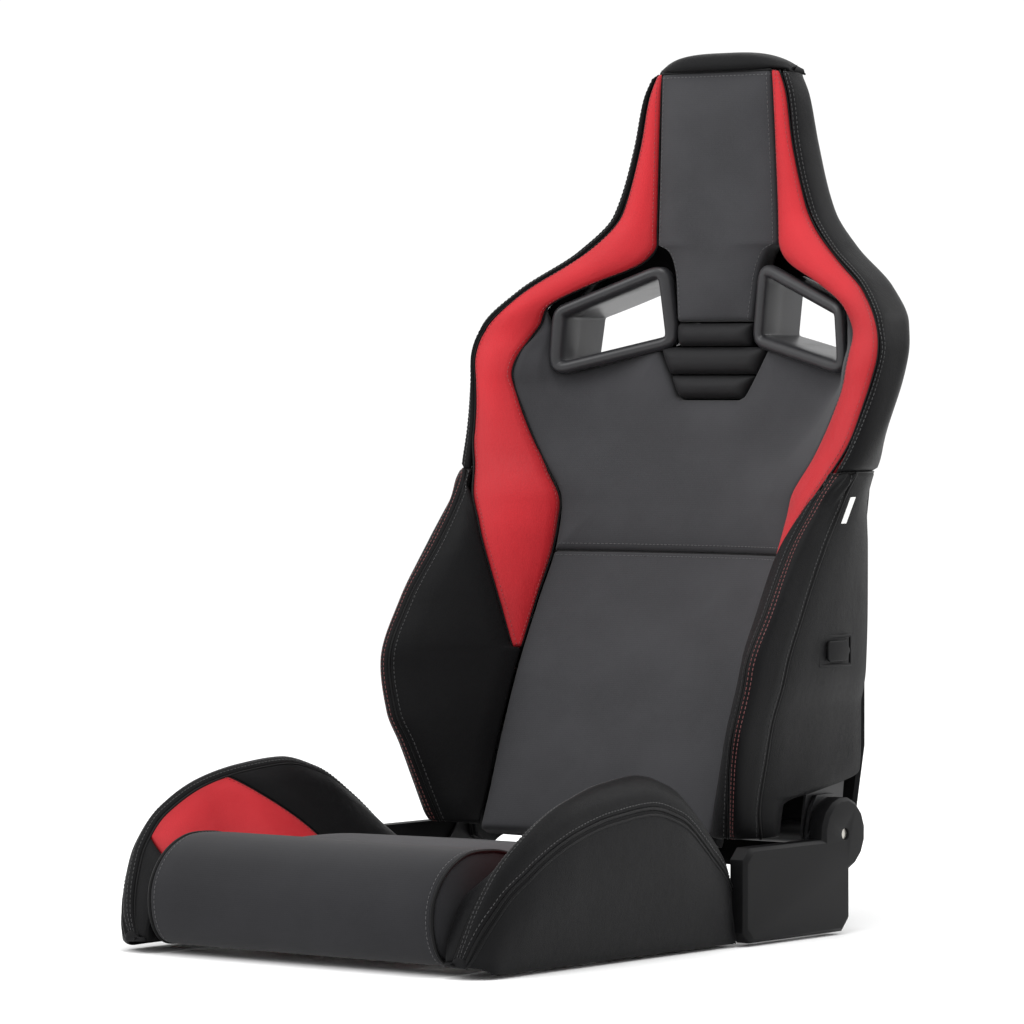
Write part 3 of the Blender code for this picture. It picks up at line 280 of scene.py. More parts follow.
def rim_loop(rows, cols):
    edge = [i * cols for i in range(rows)]
    edge += [(rows - 1) * cols + j for j in range(1, cols)]
    edge += [i * cols + cols - 1 for i in range(rows - 2, -1, -1)]
    edge += [j for j in range(cols - 2, 0, -1)]
    return edge


def reach(grid):
    """Distance from each grid point to the nearer end, along both grid directions."""
    du = np.concatenate([np.zeros((1, grid.shape[1])),
                         np.cumsum(np.linalg.norm(np.diff(grid, axis=0), axis=2), axis=0)])
    dv = np.concatenate([np.zeros((grid.shape[0], 1)),
                         np.cumsum(np.linalg.norm(np.diff(grid, axis=1), axis=2), axis=1)], axis=1)
    return du, du[-1:] - du, dv, dv[:, -1:] - dv


def to_outline(grid):
    """Distance from each grid point to the nearest piece of the grid's own outline."""
    flat = grid.reshape(-1, 3)
    loop = flat[rim_loop(*grid.shape[:2])]
    start, step = loop, np.roll(loop, -1, axis=0) - loop
    size = np.maximum((step ** 2).sum(1), 1e-12)
    out = np.zeros(len(flat))
    for k in range(0, len(flat), 500):
        away = flat[k:k + 500, None] - start[None]
        t = np.clip((away * step[None]).sum(2) / size, 0, 1)
        out[k:k + 500] = np.sqrt(((away - t[..., None] * step[None]) ** 2).sum(2)).min(1)
    return out.reshape(grid.shape[:2])


def grid_normals(grid, out):
    gu = np.gradient(grid, axis=0)
    gv = np.gradient(grid, axis=1)
    n = np.cross(gu, gv)
    size = np.linalg.norm(n, axis=2, keepdims=True)
    n = n / np.where(size < 1e-12, 1, size)
    if (n * np.asarray(out, float)).sum() < 0:
        n = -n
    return n


class Panel:
    """One sewn panel: a crowned sheet of cover with rolled edges and a foam thickness."""

    def __init__(self, name, grid, out, thick=0.010, crown=0.003, roll=0.0035, soft=0.040, waves=None,
                 around=False):
        self.grid = grid
        n = grid_normals(grid, out)
        u0, u1, v0, v1 = reach(grid)
        height = np.full(grid.shape[:2], float(crown))
        pinch = np.zeros(grid.shape[:2])
        # seam: 1 at the pattern's edges, fading out over about 5 mm; the cover finishes darken their colour
        # with it as painted shade in the seam creases
        seam = np.zeros(grid.shape[:2])
        edges = (to_outline(grid),) if around else (u0, u1, v0, v1)
        for dist in edges:
            half = np.maximum(np.minimum(soft, 0.5 * dist.max()), 1e-4)
            height = height * (1 - (1 - np.clip(dist / half, 0, 1)) ** 2)
            t = np.clip(1 - dist / roll, 0, 1)
            pinch += roll * (1 - np.sqrt(np.clip(1 - t * t, 0, 1)))
            seam = np.maximum(seam, np.exp(-dist / 0.005))
        height = height - np.minimum(pinch, 1.35 * roll)
        if waves is not None:
            height = height + waves(grid, u0, u1, v0, v1)
        self.front = grid + n * height[..., None]
        self.normal = n
        self.dist = (u0, u1, v0, v1)
        back = grid - n * thick
        rows, cols = grid.shape[:2]
        verts = np.concatenate([self.front.reshape(-1, 3), back.reshape(-1, 3)])
        base = rows * cols
        faces = grid_faces(rows, cols) + grid_faces(rows, cols, base, True)
        edge = rim_loop(rows, cols)
        for k, a in enumerate(edge):
            b = edge[(k + 1) % len(edge)]
            faces.append((a, b, base + b, base + a))
        # the back faces get a seam value of 1, so they take the full painted shade
        self.obj = mesh_object(name, verts, faces, {"seam": np.concatenate([seam.ravel(), np.ones(base)])})

    def edge(self, edge, lift=0.0):
        """Points along one edge of the pattern, with the cover's normals there."""
        pick = {0: (0, slice(None)), 1: (-1, slice(None)), 2: (slice(None), 0), 3: (slice(None), -1)}[edge]
        return self.grid[pick] + self.normal[pick] * lift, self.normal[pick]

    def line(self, edge, inset, lift=0.0):
        """Points on the finished surface at a distance in from one edge, with their normals."""
        axis = 0 if edge in (0, 1) else 1
        dist = self.dist[edge] if axis == 0 else self.dist[edge]
        front = self.front if axis == 0 else np.swapaxes(self.front, 0, 1)
        normal = self.normal if axis == 0 else np.swapaxes(self.normal, 0, 1)
        dist = dist if axis == 0 else dist.T
        if edge in (1, 3):
            front, normal, dist = front[::-1], normal[::-1], dist[::-1]
        points = []
        normals = []
        for k in range(front.shape[1]):
            d = dist[:, k]
            at = min(inset, d[-1] * 0.5)
            i = int(np.clip(np.searchsorted(d, at) - 1, 0, len(d) - 2))
            t = (at - d[i]) / max(d[i + 1] - d[i], 1e-9)
            points.append(front[i, k] * (1 - t) + front[i + 1, k] * t)
            normals.append(normal[i, k])
        points, normals = np.array(points), np.array(normals)
        return points + normals * lift, normals


def tube(name, path, radius, sides=8, ends=True):
    """Round cord of piping along a path."""
    p = np.array(path, float)
    keep = np.concatenate([[True], np.linalg.norm(np.diff(p, axis=0), axis=1) > 1e-5])
    p = p[keep]
    tangent = np.gradient(p, axis=0)
    tangent /= np.linalg.norm(tangent, axis=1, keepdims=True)
    side = np.array(Vector(tangent[0]).orthogonal().normalized())
    rows = []
    for point, along in zip(p, tangent):
        side = side - along * side.dot(along)
        side = side / np.linalg.norm(side)
        other = np.cross(along, side)
        turn = np.linspace(0, math.tau, sides, endpoint=False)
        rows.append(point + radius * (np.cos(turn)[:, None] * side + np.sin(turn)[:, None] * other))
    verts = np.concatenate(rows)
    faces = []
    for i in range(len(p) - 1):
        for k in range(sides):
            m = (k + 1) % sides
            faces.append((i * sides + k, i * sides + m, (i + 1) * sides + m, (i + 1) * sides + k))
    faces.append(tuple(reversed(range(sides))))
    faces.append(tuple(range((len(p) - 1) * sides, len(p) * sides)))
    return mesh_object(name, verts, faces)


def stitches(name, lines, pitch=0.0052, length=0.0036, radius=0.00045):
    """Row of single thread stitches along each line of points and normals."""
    verts = []
    faces = []
    sides = 6
    turn = np.linspace(0, math.tau, sides, endpoint=False)
    profile = ((-0.5, 0.35, -0.7), (-0.34, 0.9, 0.15), (0.34, 0.9, 0.15), (0.5, 0.35, -0.7))
    for points, normals in lines:
        run = np.concatenate([[0], np.cumsum(np.linalg.norm(np.diff(points, axis=0), axis=1))])
        count = int(run[-1] / pitch)
        for c in range(count):
            at = (c + 0.5) * pitch
            mid = np.array([np.interp(at, run, points[:, k]) for k in range(3)])
            ahead = np.array([np.interp(at + length / 2, run, points[:, k]) for k in range(3)])
            behind = np.array([np.interp(at - length / 2, run, points[:, k]) for k in range(3)])
            up = np.array([np.interp(at, run, normals[:, k]) for k in range(3)])
            up /= np.linalg.norm(up)
            along = ahead - behind
            size = np.linalg.norm(along)
            if size < 1e-6:
                continue
            along /= size
            across = np.cross(up, along)
            base = len(verts)
            for t, fat, lift in profile:
                centre = mid + along * t * length + up * lift * radius
                for k in turn:
                    verts.append(centre + radius * fat * (math.cos(k) * across + math.sin(k) * up))
            for ring in range(3):
                for k in range(sides):
                    m = (k + 1) % sides
                    a = base + ring * sides
                    faces.append((a + k, a + m, a + sides + m, a + sides + k))
            faces.append(tuple(base + k for k in reversed(range(sides))))
            faces.append(tuple(base + 3 * sides + k for k in range(sides)))
    return mesh_object(name, verts, faces)


# ---- finishes -----------------------------------------------------------------------------
class Sum:
    """A number on its way through the shader: Python's operators add Math nodes."""

    def __init__(self, finish, socket):
        self.finish = finish
        self.socket = socket

    def _math(self, operation, first, second):
        return Sum(self.finish, self.finish.node("ShaderNodeMath", {"operation": operation},
                {0: first, 1: second}))

    def __add__(self, other):
        return self._math("ADD", self, other)

    def __radd__(self, other):
        return self._math("ADD", other, self)

    def __sub__(self, other):
        return self._math("SUBTRACT", self, other)

    def __rsub__(self, other):
        return self._math("SUBTRACT", other, self)

    def __mul__(self, other):
        return self._math("MULTIPLY", self, other)

    def __rmul__(self, other):
        return self._math("MULTIPLY", other, self)

    def __pow__(self, other):
        return self._math("POWER", self, other)

    def lowest(self, other):
        return self._math("MINIMUM", self, other)

    def highest(self, other):
        return self._math("MAXIMUM", self, other)


class Finish:
    """A material and the nodes that make up its surface."""

    def __init__(self, name, colour, rough, metallic=0.0, **fixed):
        self.material = bpy.data.materials.new(name)
        self.material.use_nodes = True
        self.tree = self.material.node_tree
        self.shader = self.tree.nodes["Principled BSDF"]
        self.shader.inputs["Base Color"].default_value = (*colour, 1)
        self.shader.inputs["Roughness"].default_value = rough
        self.shader.inputs["Metallic"].default_value = metallic
        for key, value in fixed.items():
            self.shader.inputs[key.replace("_", " ")].default_value = value
        self.place = self.node("ShaderNodeTexCoord", output="Object")

    def node(self, kind, settings=None, links=None, output=0):
        made = self.tree.nodes.new(kind)
        for key, value in (settings or {}).items():
            if key == "stops":
                ramp = made.color_ramp
                while len(ramp.elements) < len(value):
                    ramp.elements.new(0.5)
                for element, (at, shade) in zip(ramp.elements, value):
                    element.position = at
                    element.color = shade
            else:
                setattr(made, key, value)
        for key, value in (links or {}).items():
            value = value.socket if isinstance(value, Sum) else value
            if isinstance(value, bpy.types.NodeSocket):
                self.tree.links.new(value, made.inputs[key])
            else:
                made.inputs[key].default_value = value
        return made.outputs[output]

    def noise(self, scale, detail=3.0, rough=0.55, place=None):
        return Sum(self, self.node("ShaderNodeTexNoise", None, {"Vector": place or self.place, "Scale": scale,
                                                              "Detail": detail, "Roughness": rough}, "Fac"))

    def cells(self, scale, feature="DISTANCE_TO_EDGE", place=None):
        return Sum(self, self.node("ShaderNodeTexVoronoi", {"feature": feature},
                                   {"Vector": place or self.place, "Scale": scale}, "Distance"))

    def bands(self, scale, direction, bend=0.0):
        return Sum(self, self.node("ShaderNodeTexWave", {"wave_type": "BANDS", "bands_direction": direction},
                                   {"Vector": self.place, "Scale": scale, "Distortion": bend,
                                    "Detail Scale": 4.0}, "Fac"))

    def ramp(self, value, low, high, a=0.0, b=1.0):
        return Sum(self, self.node("ShaderNodeMapRange", {"interpolation_type": "SMOOTHSTEP"},
                                   {"Value": value, "From Min": low, "From Max": high, "To Min": a,
                                    "To Max": b}))

    # Mask near the panels' edges, used for painted shade in the seam creases
    def seam(self):
        return Sum(self, self.node("ShaderNodeAttribute", {"attribute_name": "seam"}, None, "Fac"))

    def mix(self, share, first, second):
        colours = [c if isinstance(c, bpy.types.NodeSocket) else (*c, 1) for c in (first, second)]
        return self.node("ShaderNodeMix", {"data_type": "RGBA"}, {0: share, 6: colours[0], 7: colours[1]}, 2)

    def bump(self, height, strength, distance, under=None):
        links = {"Height": height, "Strength": strength, "Distance": distance}
        if under is not None:
            links["Normal"] = under
        return self.node("ShaderNodeBump", None, links)

    def feed(self, **sockets):
        for key, value in sockets.items():
            value = value.socket if isinstance(value, Sum) else value
            self.tree.links.new(value, self.shader.inputs[key.replace("_", " ")])
        return self.material


def leather(name, colour, rough, dark=0.55, sheen=0.02, shine=0.16):
    """Fine-grained automotive leather with soft creases and painted shade along the seams."""
    f = Finish(name, colour, rough, Specular_IOR_Level=shine, Sheen_Weight=sheen, Sheen_Roughness=0.4)
    pebble = f.ramp(f.cells(620.0), 0.0, 0.22)
    fine = f.noise(1500.0, 2.0)
    crease = f.noise(26.0, 4.0, 0.6)
    wide = f.noise(5.0, 3.0)
    seam = f.seam()
    shade = f.mix(f.ramp(wide, 0.3, 0.7), tuple(c * 0.86 for c in colour),
                  tuple(min(1, c * 1.12) for c in colour))
    shade = f.mix(f.ramp(pebble, 0.0, 0.5, 0.22, 0.0), shade, tuple(c * dark for c in colour))
    # painted shade: the colour darkens towards the seams, where the rolled edges of the panels meet
    shade = f.mix(seam * 0.55, shade, tuple(c * 0.35 for c in colour))
    surface = f.bump(crease, 0.35, 0.0022)
    surface = f.bump(pebble + fine * 0.35, 0.40, 0.00028, surface)
    return f.feed(Base_Color=shade, Roughness=(rough - 0.05) + fine * 0.05 + wide * 0.08 + seam * 0.12,
                  Normal=surface)


def suede_cloth(name, colour):
    """Dense matt technical cloth: a tight weave under a short nap."""
    f = Finish(name, colour, 0.88, Specular_IOR_Level=0.12, Sheen_Weight=0.10, Sheen_Roughness=0.5)
    weave = f.bands(150.0, "X", 0.6) * f.bands(150.0, "Z", 0.6)
    nap = f.noise(900.0, 3.0, 0.7)
    cloud = f.noise(9.0, 4.0, 0.6)
    seam = f.seam()
    shade = f.mix(f.ramp(cloud, 0.3, 0.7), tuple(c * 0.88 for c in colour), tuple(c * 1.12 for c in colour))
    shade = f.mix(f.ramp(nap, 0.35, 0.7, 0.0, 0.35), shade, tuple(c * 1.45 for c in colour))
    # painted shade: the colour darkens towards the seams, where the rolled edges of the panels meet
    shade = f.mix(seam * 0.5, shade, tuple(c * 0.4 for c in colour))
    soft = f.bump(cloud, 0.2, 0.002)
    surface = f.bump(weave * 0.6 + nap * 0.7, 0.35, 0.00022, soft)
    return f.feed(Base_Color=shade, Roughness=0.80 + nap * 0.14, Normal=surface)


def moulded(name, colour, rough, grain=900.0, depth=0.00018, shine=0.14):
    """Moulded plastic with a fine etched grain and a few handling marks."""
    f = Finish(name, colour, rough, Specular_IOR_Level=shine)
    etch = f.noise(grain, 3.0, 0.65)
    rub = f.ramp(f.noise(16.0, 5.0, 0.7), 0.45, 0.75)
    shade = f.mix(rub * 0.5, colour, tuple(min(1, c * 1.5 + 0.004) for c in colour))
    return f.feed(Base_Color=shade, Roughness=rough - 0.06 + etch * 0.12 + rub * 0.08,
                  Normal=f.bump(etch, 0.35, depth))


def steel(name, colour, rough, coat=0.0):
    f = Finish(name, colour, rough, 1.0 if coat == 0 else 0.0)
    brush = f.noise(300.0, 4.0, 0.6)
    stain = f.ramp(f.noise(30.0, 5.0, 0.65), 0.4, 0.8)
    shade = f.mix(stain * 0.5, colour, tuple(c * 0.7 for c in colour))
    return f.feed(Base_Color=shade, Roughness=rough - 0.05 + brush * 0.10 + stain * 0.12,
                  Normal=f.bump(brush, 0.15, 0.0002))


def thread(name, colour):
    f = Finish(name, colour, 0.65, Sheen_Weight=0.3)
    twist = f.noise(2400.0, 1.0)
    return f.feed(Base_Color=f.mix(f.ramp(twist, 0.3, 0.7), tuple(c * 0.7 for c in colour), colour),
                  Normal=f.bump(twist, 0.4, 0.0001))


GREY = suede_cloth("insert_cloth", (0.036, 0.036, 0.039))
ROLL_GREY = suede_cloth("thigh_roll_cloth", (0.016, 0.016, 0.018))
BLACK = leather("black_leather", (0.0045, 0.0045, 0.0050), 0.44, shine=0.09)
PAD_BLACK = leather("chest_pad_leather", (0.012, 0.012, 0.013), 0.50)
RED = leather("red_leather", (0.46, 0.016, 0.023), 0.48, 0.6, 0.05, 0.20)
PIPING = leather("piping_leather", (0.0035, 0.0035, 0.0038), 0.40, shine=0.12)
SATIN = moulded("satin_trim_plastic", (0.018, 0.018, 0.020), 0.36, 1400.0, 0.00008, 0.40)
SHELL_FINISH = moulded("grained_shell_plastic", (0.0045, 0.0045, 0.0050), 0.56, shine=0.10)
COVER_FINISH = moulded("grained_cover_plastic", (0.0038, 0.0038, 0.0042), 0.48, shine=0.13)
DARK_STEEL = steel("black_painted_steel", (0.010, 0.010, 0.011), 0.42, 1.0)
ZINC = steel("zinc_plated_steel", (0.52, 0.50, 0.46), 0.34)
GREY_THREAD = thread("grey_thread", (0.055, 0.055, 0.058))
RED_THREAD = thread("rust_thread", (0.16, 0.024, 0.022))
BLACK_THREAD = thread("black_thread", (0.014, 0.014, 0.015))
DEEP_RED_THREAD = thread("deep_red_thread", (0.30, 0.012, 0.018))
TAG_CLOTH = suede_cloth("tag_cloth", (0.72, 0.72, 0.70))


def dress(piece, material, body, nodes=()):
    """Give a piece its finish, body, stand-in nodes and material slot."""
    obj = piece.obj if isinstance(piece, Panel) else piece
    obj.data.materials.clear()
    obj.data.materials.append(material)
    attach(obj, body)
    if nodes:
        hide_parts(*([nodes] if isinstance(nodes, str) else nodes))
    return piece


def lift_xz(flat, extra=0.0):
    """Place a flat (x, z) grid on the backrest's front."""
    x, z = flat[..., 0], flat[..., 1]
    return np.stack([x, back_y(x, z) + extra, z], axis=-1)


# ---- backrest covers -------------------------------------------------------------------------
FORWARD = (0, -1, 0)


def insert_edge(side, heights):
    return np.array([(side * (BACK(z)[1] - SEAM_GAP), z) for z in heights])


def lower_back_pad():
    zs = np.linspace(BACK_BOTTOM_Z, SPLIT_Z - 0.0008, 50)
    left, right = insert_edge(-1, zs), insert_edge(1, zs)
    flat = coons(np.array([left[0], right[0]]), np.array([left[-1], right[-1]]), left, right)
    pad = Panel("lower_back_pad", lift_xz(flat), FORWARD, 0.022, 0.011, 0.0045, 0.090)
    dress(pad, GREY, "backrest", "lower_back_cushion")
    return pad


def rounded(corners, radius, arc=6):
    out = []
    count = len(corners)
    for i in range(count):
        p, before, after = (np.array(corners[j % count], float) for j in (i, i - 1, i + 1))
        u, v = before - p, after - p
        lu, lv = np.linalg.norm(u), np.linalg.norm(v)
        half = math.acos(np.clip(u.dot(v) / (lu * lv), -1, 1)) / 2
        trim = min(radius / math.tan(half), 0.45 * lu, 0.45 * lv)
        a, b = p + u / lu * trim, p + v / lv * trim
        for t in np.linspace(0, 1, arc + 1):
            out.append((1 - t) ** 2 * a + 2 * t * (1 - t) * p + t * t * b)
    return np.array(out)


PAD_SIDE = ((0.407, 0.157), (0.440, 0.1575), (0.464, 0.159), (0.517, 0.190), (0.560, 0.212), (0.600, 0.228),
            (0.6275, 0.228), (0.640, 0.2245), (0.650, 0.2195), (0.662, 0.2125), (0.676, 0.2055))
PAD_TOP = ((0.0, 0.5762), (0.0400, 0.5762), (0.0475, 0.5800), (0.0610, 0.6050), (0.0750, 0.6310),
           (0.0900, 0.6300),
           (0.1500, 0.6160), (0.1900, 0.6070), (0.1985, 0.6100), (0.2025, 0.6300), (0.2035, 0.6600),
           (0.2070, 0.6740),
           (0.2300, 0.6750))


PAD_COLUMNS = 128
PAD_ROOF_Z = 0.676


def upper_back_pad():
    """Upper insert: notched for the chest pads and tucked under both belt slot surrounds."""
    side = Blend(PAD_SIDE)
    top_x, top_z = np.array(PAD_TOP).T
    shares = np.linspace(0, 1, PAD_COLUMNS)
    shares = np.concatenate([-shares[:0:-1], shares])
    low = SPLIT_Z + 0.0008
    rows = []
    for share in shares:
        floor, roof = low, PAD_ROOF_Z
        for _ in range(34):
            z = 0.5 * (floor + roof)
            under = z < np.interp(abs(share) * side(z)[0], top_x, top_z)
            floor, roof = (z, roof) if under else (floor, z)
        zs = low + (floor - low) * spacing(floor - low, 64)
        rows.append([(share * (side(z)[0] - SEAM_GAP), z) for z in zs])
    flat = np.array(rows)
    pad = Panel("upper_back_pad", lift_xz(flat), FORWARD, 0.022, 0.008, 0.0045, 0.060, around=True)
    dress(pad, GREY, "backrest", "upper_back_cushion")
    return pad


def chest_pads():
    for name, node, low_x, high_x, low_z, high_z in (
            ("chest_pad_upper", "chest_pad_top", 0.0490, 0.0515, 0.6365, 0.6620),
            ("chest_pad_centre", "chest_pad_middle", 0.0595, 0.0735, 0.6050, 0.6350),
            ("chest_pad_lower", "chest_pad_bottom", 0.0440, 0.0585, 0.5785, 0.6035)):
        ends = [np.array([(-low_x, low_z), (low_x, low_z)]), np.array([(-high_x, high_z), (high_x, high_z)])]
        sides = [np.array([(s * low_x, low_z), (s * high_x, high_z)]) for s in (-1, 1)]
        flat = coons(ends[0], ends[1], sides[0], sides[1], 0.003)
        pad = Panel(name, lift_xz(flat), FORWARD, 0.018, 0.0065, 0.0055, 0.014)
        dress(pad, PAD_BLACK, "backrest", node)


def head_pad():
    side = curved([(0.0515, 0.6645), (0.0545, 0.690), (0.0585, 0.720), (0.0680, 0.742), (0.0830, 0.7500)], 6)
    zs = np.linspace(0.757, HEAD_SEAM_Z - 0.0005, 40)
    upper = np.array([(BACK(z)[1] - SEAM_GAP, z) for z in zs])
    right = np.concatenate([side, upper])
    left = right * (-1, 1)
    flat = coons(np.array([left[0], right[0]]), np.array([left[-1], right[-1]]), left, right)
    pad = Panel("head_pad", lift_xz(flat), FORWARD, 0.024, 0.010, 0.0045, 0.055)
    dress(pad, GREY, "backrest", "head_cushion")
    return pad


def wing_outline():
    """Inner and outer seams of the red wing as (x, z) curves, from the head down to the tip."""
    inner = [(BACK(z)[1], z) for z in (HEAD_SEAM_Z - 0.0005, 0.915, 0.860, 0.800, 0.765)]
    inner += [(0.0848, 0.7450), (0.104, 0.7260), (0.150, 0.7075), (0.188, 0.6900), (0.2040, 0.6785),
              (0.2128, 0.662), (0.2218, 0.646)]
    inner += [(BACK(z)[1], z) for z in (0.625, 0.600, 0.570, 0.535, 0.500, 0.470, 0.440, 0.407, 0.370,
                                        0.335, RED_TIP_Z)]
    outer = [(BACK(z)[3], z) for z in (HEAD_SEAM_Z - 0.0005, 0.915, 0.860, 0.800, 0.775)]
    outer += [(BACK(z)[3], z) for z in (0.752, 0.728, 0.702, 0.680, 0.662, 0.644)]
    outer += [(BACK(z)[3], z) for z in (0.622, 0.598, 0.566, 0.530)]
    outer += [(wing_edge(z) + 0.004 * smooth((z - 0.47) / 0.03), z) for z in (0.500, 0.470, 0.440, 0.407,
            0.370, 0.335, RED_TIP_Z)]
    return curved(inner, 6), curved(outer, 6)


def red_wing(side, label):
    inner, outer = wing_outline()
    inner = inner + (SEAM_GAP, 0)
    outer = outer - (SEAM_GAP, 0)
    inner, outer = inner * (side, 1), outer * (side, 1)
    flat = coons(np.array([inner[0], outer[0]]), np.array([inner[-1], outer[-1]]), inner, outer, 0.0035)
    wing = Panel("red_wing_cover_" + label, lift_xz(flat), FORWARD, 0.012, 0.0035, 0.0040, 0.030)
    dress(wing, RED, "backrest", "red_wing_" + label)
    return wing


def outer_band(side, label):
    """Black cover that wraps from the red seam round to the shell."""
    zs = np.concatenate([np.linspace(HEAD_SEAM_Z - 0.0005, 0.785, 36),
                         np.linspace(0.780, BAND_LOW_Z + 0.0005, 66)])
    rows = []
    for z in zs:
        c, ix, iy, rx, ry, ox, oy = BACK(z)
        cc, sx, sy = SHELL(z)
        rear = sy - 0.0052
        a = np.array([rx + SEAM_GAP, ry])
        b = np.array([rx + 0.62 * (ox - rx), ry + 0.10 * (oy - ry) - 0.001])
        d = np.array([ox, oy])
        up = smooth((z - BAND_LOW_Z) / 0.075)
        wide = max(sx, ox - 0.016)
        deep = max(rear, oy + 0.012)
        e = np.array([ox - 0.0010 + (0.5 * (ox + wide) + 0.005 - ox) * (1 - up), 0.5 * (oy + deep)])
        full = max(sx, min(ox - 0.005, sx + 0.30 * (ox - sx)))
        g = np.array([full + (wide - full) * (1 - up), deep + 0.001])
        h = np.array([sx - 0.006, sy - 0.0048])
        line = curved([a, b, d, e, g, h], 8)
        line = resample(line, 26)
        rows.append([(side * x, y, z) for x, y in line])
    band = Panel("outer_band_cover_" + label, np.array(rows), (side, -0.3, 0), 0.008, 0.0010, 0.0035, 0.020)
    dress(band, BLACK, "backrest", "outer_band_" + label)
    return band


CAP_HALF = 0.0915


def head_cap():
    """Cover over the head's top edge, from the front seam back to the shell."""
    rows = []
    for part in np.linspace(-1, 1, 70):
        x = part * CAP_HALF
        bend = abs(part) ** 4
        top = HEAD_TOP_Z - 0.0200 * abs(part) ** 3.4
        low = HEAD_SEAM_Z + 0.0005
        front = 0.3310 + 0.0230 * bend
        rear = 0.3925 - 0.0085 * bend
        line = curved([(front, low), (front + 0.0015, low + 0.45 * (top - low)),
                       (front + 0.0095, low + 0.86 * (top - low)),
                       (0.362, top), (rear - 0.0125, low + 0.86 * (top - low)),
                       (rear - 0.002, low + 0.4 * (top - low)),
                       (rear, low)], 6)
        rows.append([(x, y, z) for y, z in resample(line, 30)])
    cap = Panel("head_cap_cover", np.array(rows), (0, 0, 1), 0.006, 0.0008, 0.0030, 0.020)
    dress(cap, BLACK, "backrest", "head_cap")
    return cap


def bolster_sections(side, zs, part):
    """Rows of one bolster panel: the inner face, the front band or the side panel."""
    rows = []
    for z in zs:
        c, ix, iy, rx, ry, ox, oy = BACK(z)
        cc, sx, sy = SHELL(z)
        inner_x = (wing_edge(z) + 0.004 * smooth((z - 0.47) / 0.03)) if z > RED_TIP_Z else ix
        inner_x = inner_x + SEAM_GAP
        inner_y = back_y(inner_x, z)
        rear = sy - 0.0052
        wide = max(sx, ox - 0.016)
        foot = smooth((z - 0.142) / 0.030)
        rear = 0.150 + (rear - 0.150) * foot
        wide = wide if z > 0.150 else max(ox - 0.001, wide + (ox - 0.001 - wide) * (1 - foot))
        if part == "face":
            mid = (0.5 * (inner_x + rx), 0.5 * (inner_y + ry) - 0.006 * min(1, (rx - inner_x) / 0.04))
            line = curved([(inner_x, inner_y), mid, (rx - SEAM_GAP, ry)], 8)
        elif part == "band":
            mid = (0.5 * (rx + ox) + 0.002, ry + 0.22 * (oy - ry) - 0.0045)
            line = curved([(rx, ry), mid, (ox, oy)], 8)
        else:
            mid = (0.5 * (ox + wide) + 0.004, 0.5 * (oy + rear))
            line = curved([(ox, oy + SEAM_GAP), mid, (wide, rear)], 8)
        rows.append([(side * x, y, z) for x, y in line])
    return np.array(rows)


def even(grid, cell=0.004, ease=True):
    """Respace a grid of points in both directions, with close rows at its edges."""
    def pass_over(g):
        length = np.linalg.norm(np.diff(g, axis=0), axis=2).sum(0).max()
        shares = spacing(length, int(length / cell) + 12) if ease else np.linspace(0, 1,
                int(length / cell) + 2)
        out = np.zeros((len(shares), g.shape[1], 3))
        for k in range(g.shape[1]):
            run = np.concatenate([[0], np.cumsum(np.linalg.norm(np.diff(g[:, k], axis=0), axis=1))])
            for a in range(3):
                out[:, k, a] = np.interp(shares * run[-1], run, g[:, k, a])
        return out
    return np.swapaxes(pass_over(np.swapaxes(pass_over(grid), 0, 1)), 0, 1)


def back_bolster(side, label):
    zs = np.linspace(0.107, BAND_LOW_Z - 0.0005, 120)
    def folds(grid, u0, u1, v0, v1):
        """Tuck creases where the bolster runs under the shoulder band."""
        near = np.exp(-u1 / 0.022)
        return 0.0022 * near * np.sin(v0 * 420.0 + u1 * 130.0)
    face = Panel("bolster_face_" + label, even(bolster_sections(side, zs, "face")), (-side, -0.4, 0),
                 0.010, 0.004, 0.0035, 0.030, waves=folds)
    band = Panel("bolster_band_" + label, even(bolster_sections(side, zs, "band")), (0.3 * side, -1, 0),
                 0.008, 0.003, 0.0030, 0.016, waves=folds)
    flank = Panel("bolster_flank_" + label, even(bolster_sections(side, zs, "side")), (side, 0, 0), 0.008,
                  0.002, 0.0030, 0.030)
    dress(face, BLACK, "backrest", "back_bolster_" + label)
    dress(band, BLACK, "backrest", ())
    dress(flank, BLACK, "backrest", ())
    return face, band, flank


# ---- base covers ------------------------------------------------------------------------------
BASE_NOSE_Y = -0.3985
BASE_TAIL_Y = 0.034
ROLL_HALF = 0.1885
ROLL_FRONT = ((-0.393, 0.020), (-0.404, 0.045), (-0.402, 0.076), (-0.382, 0.104), (-0.348, 0.1205))
ROLL_TOP = ((-0.348, 0.1205), (-0.305, 0.1215), (-0.270, 0.115))
ROLL_UNDER = ((-0.393, 0.020), (-0.372, 0.010), (-0.330, 0.012))
CUSHION_HALF = 0.162
CUSHION_REAR_Y = 0.073
CUSHION_FRONT_Y = -0.2675


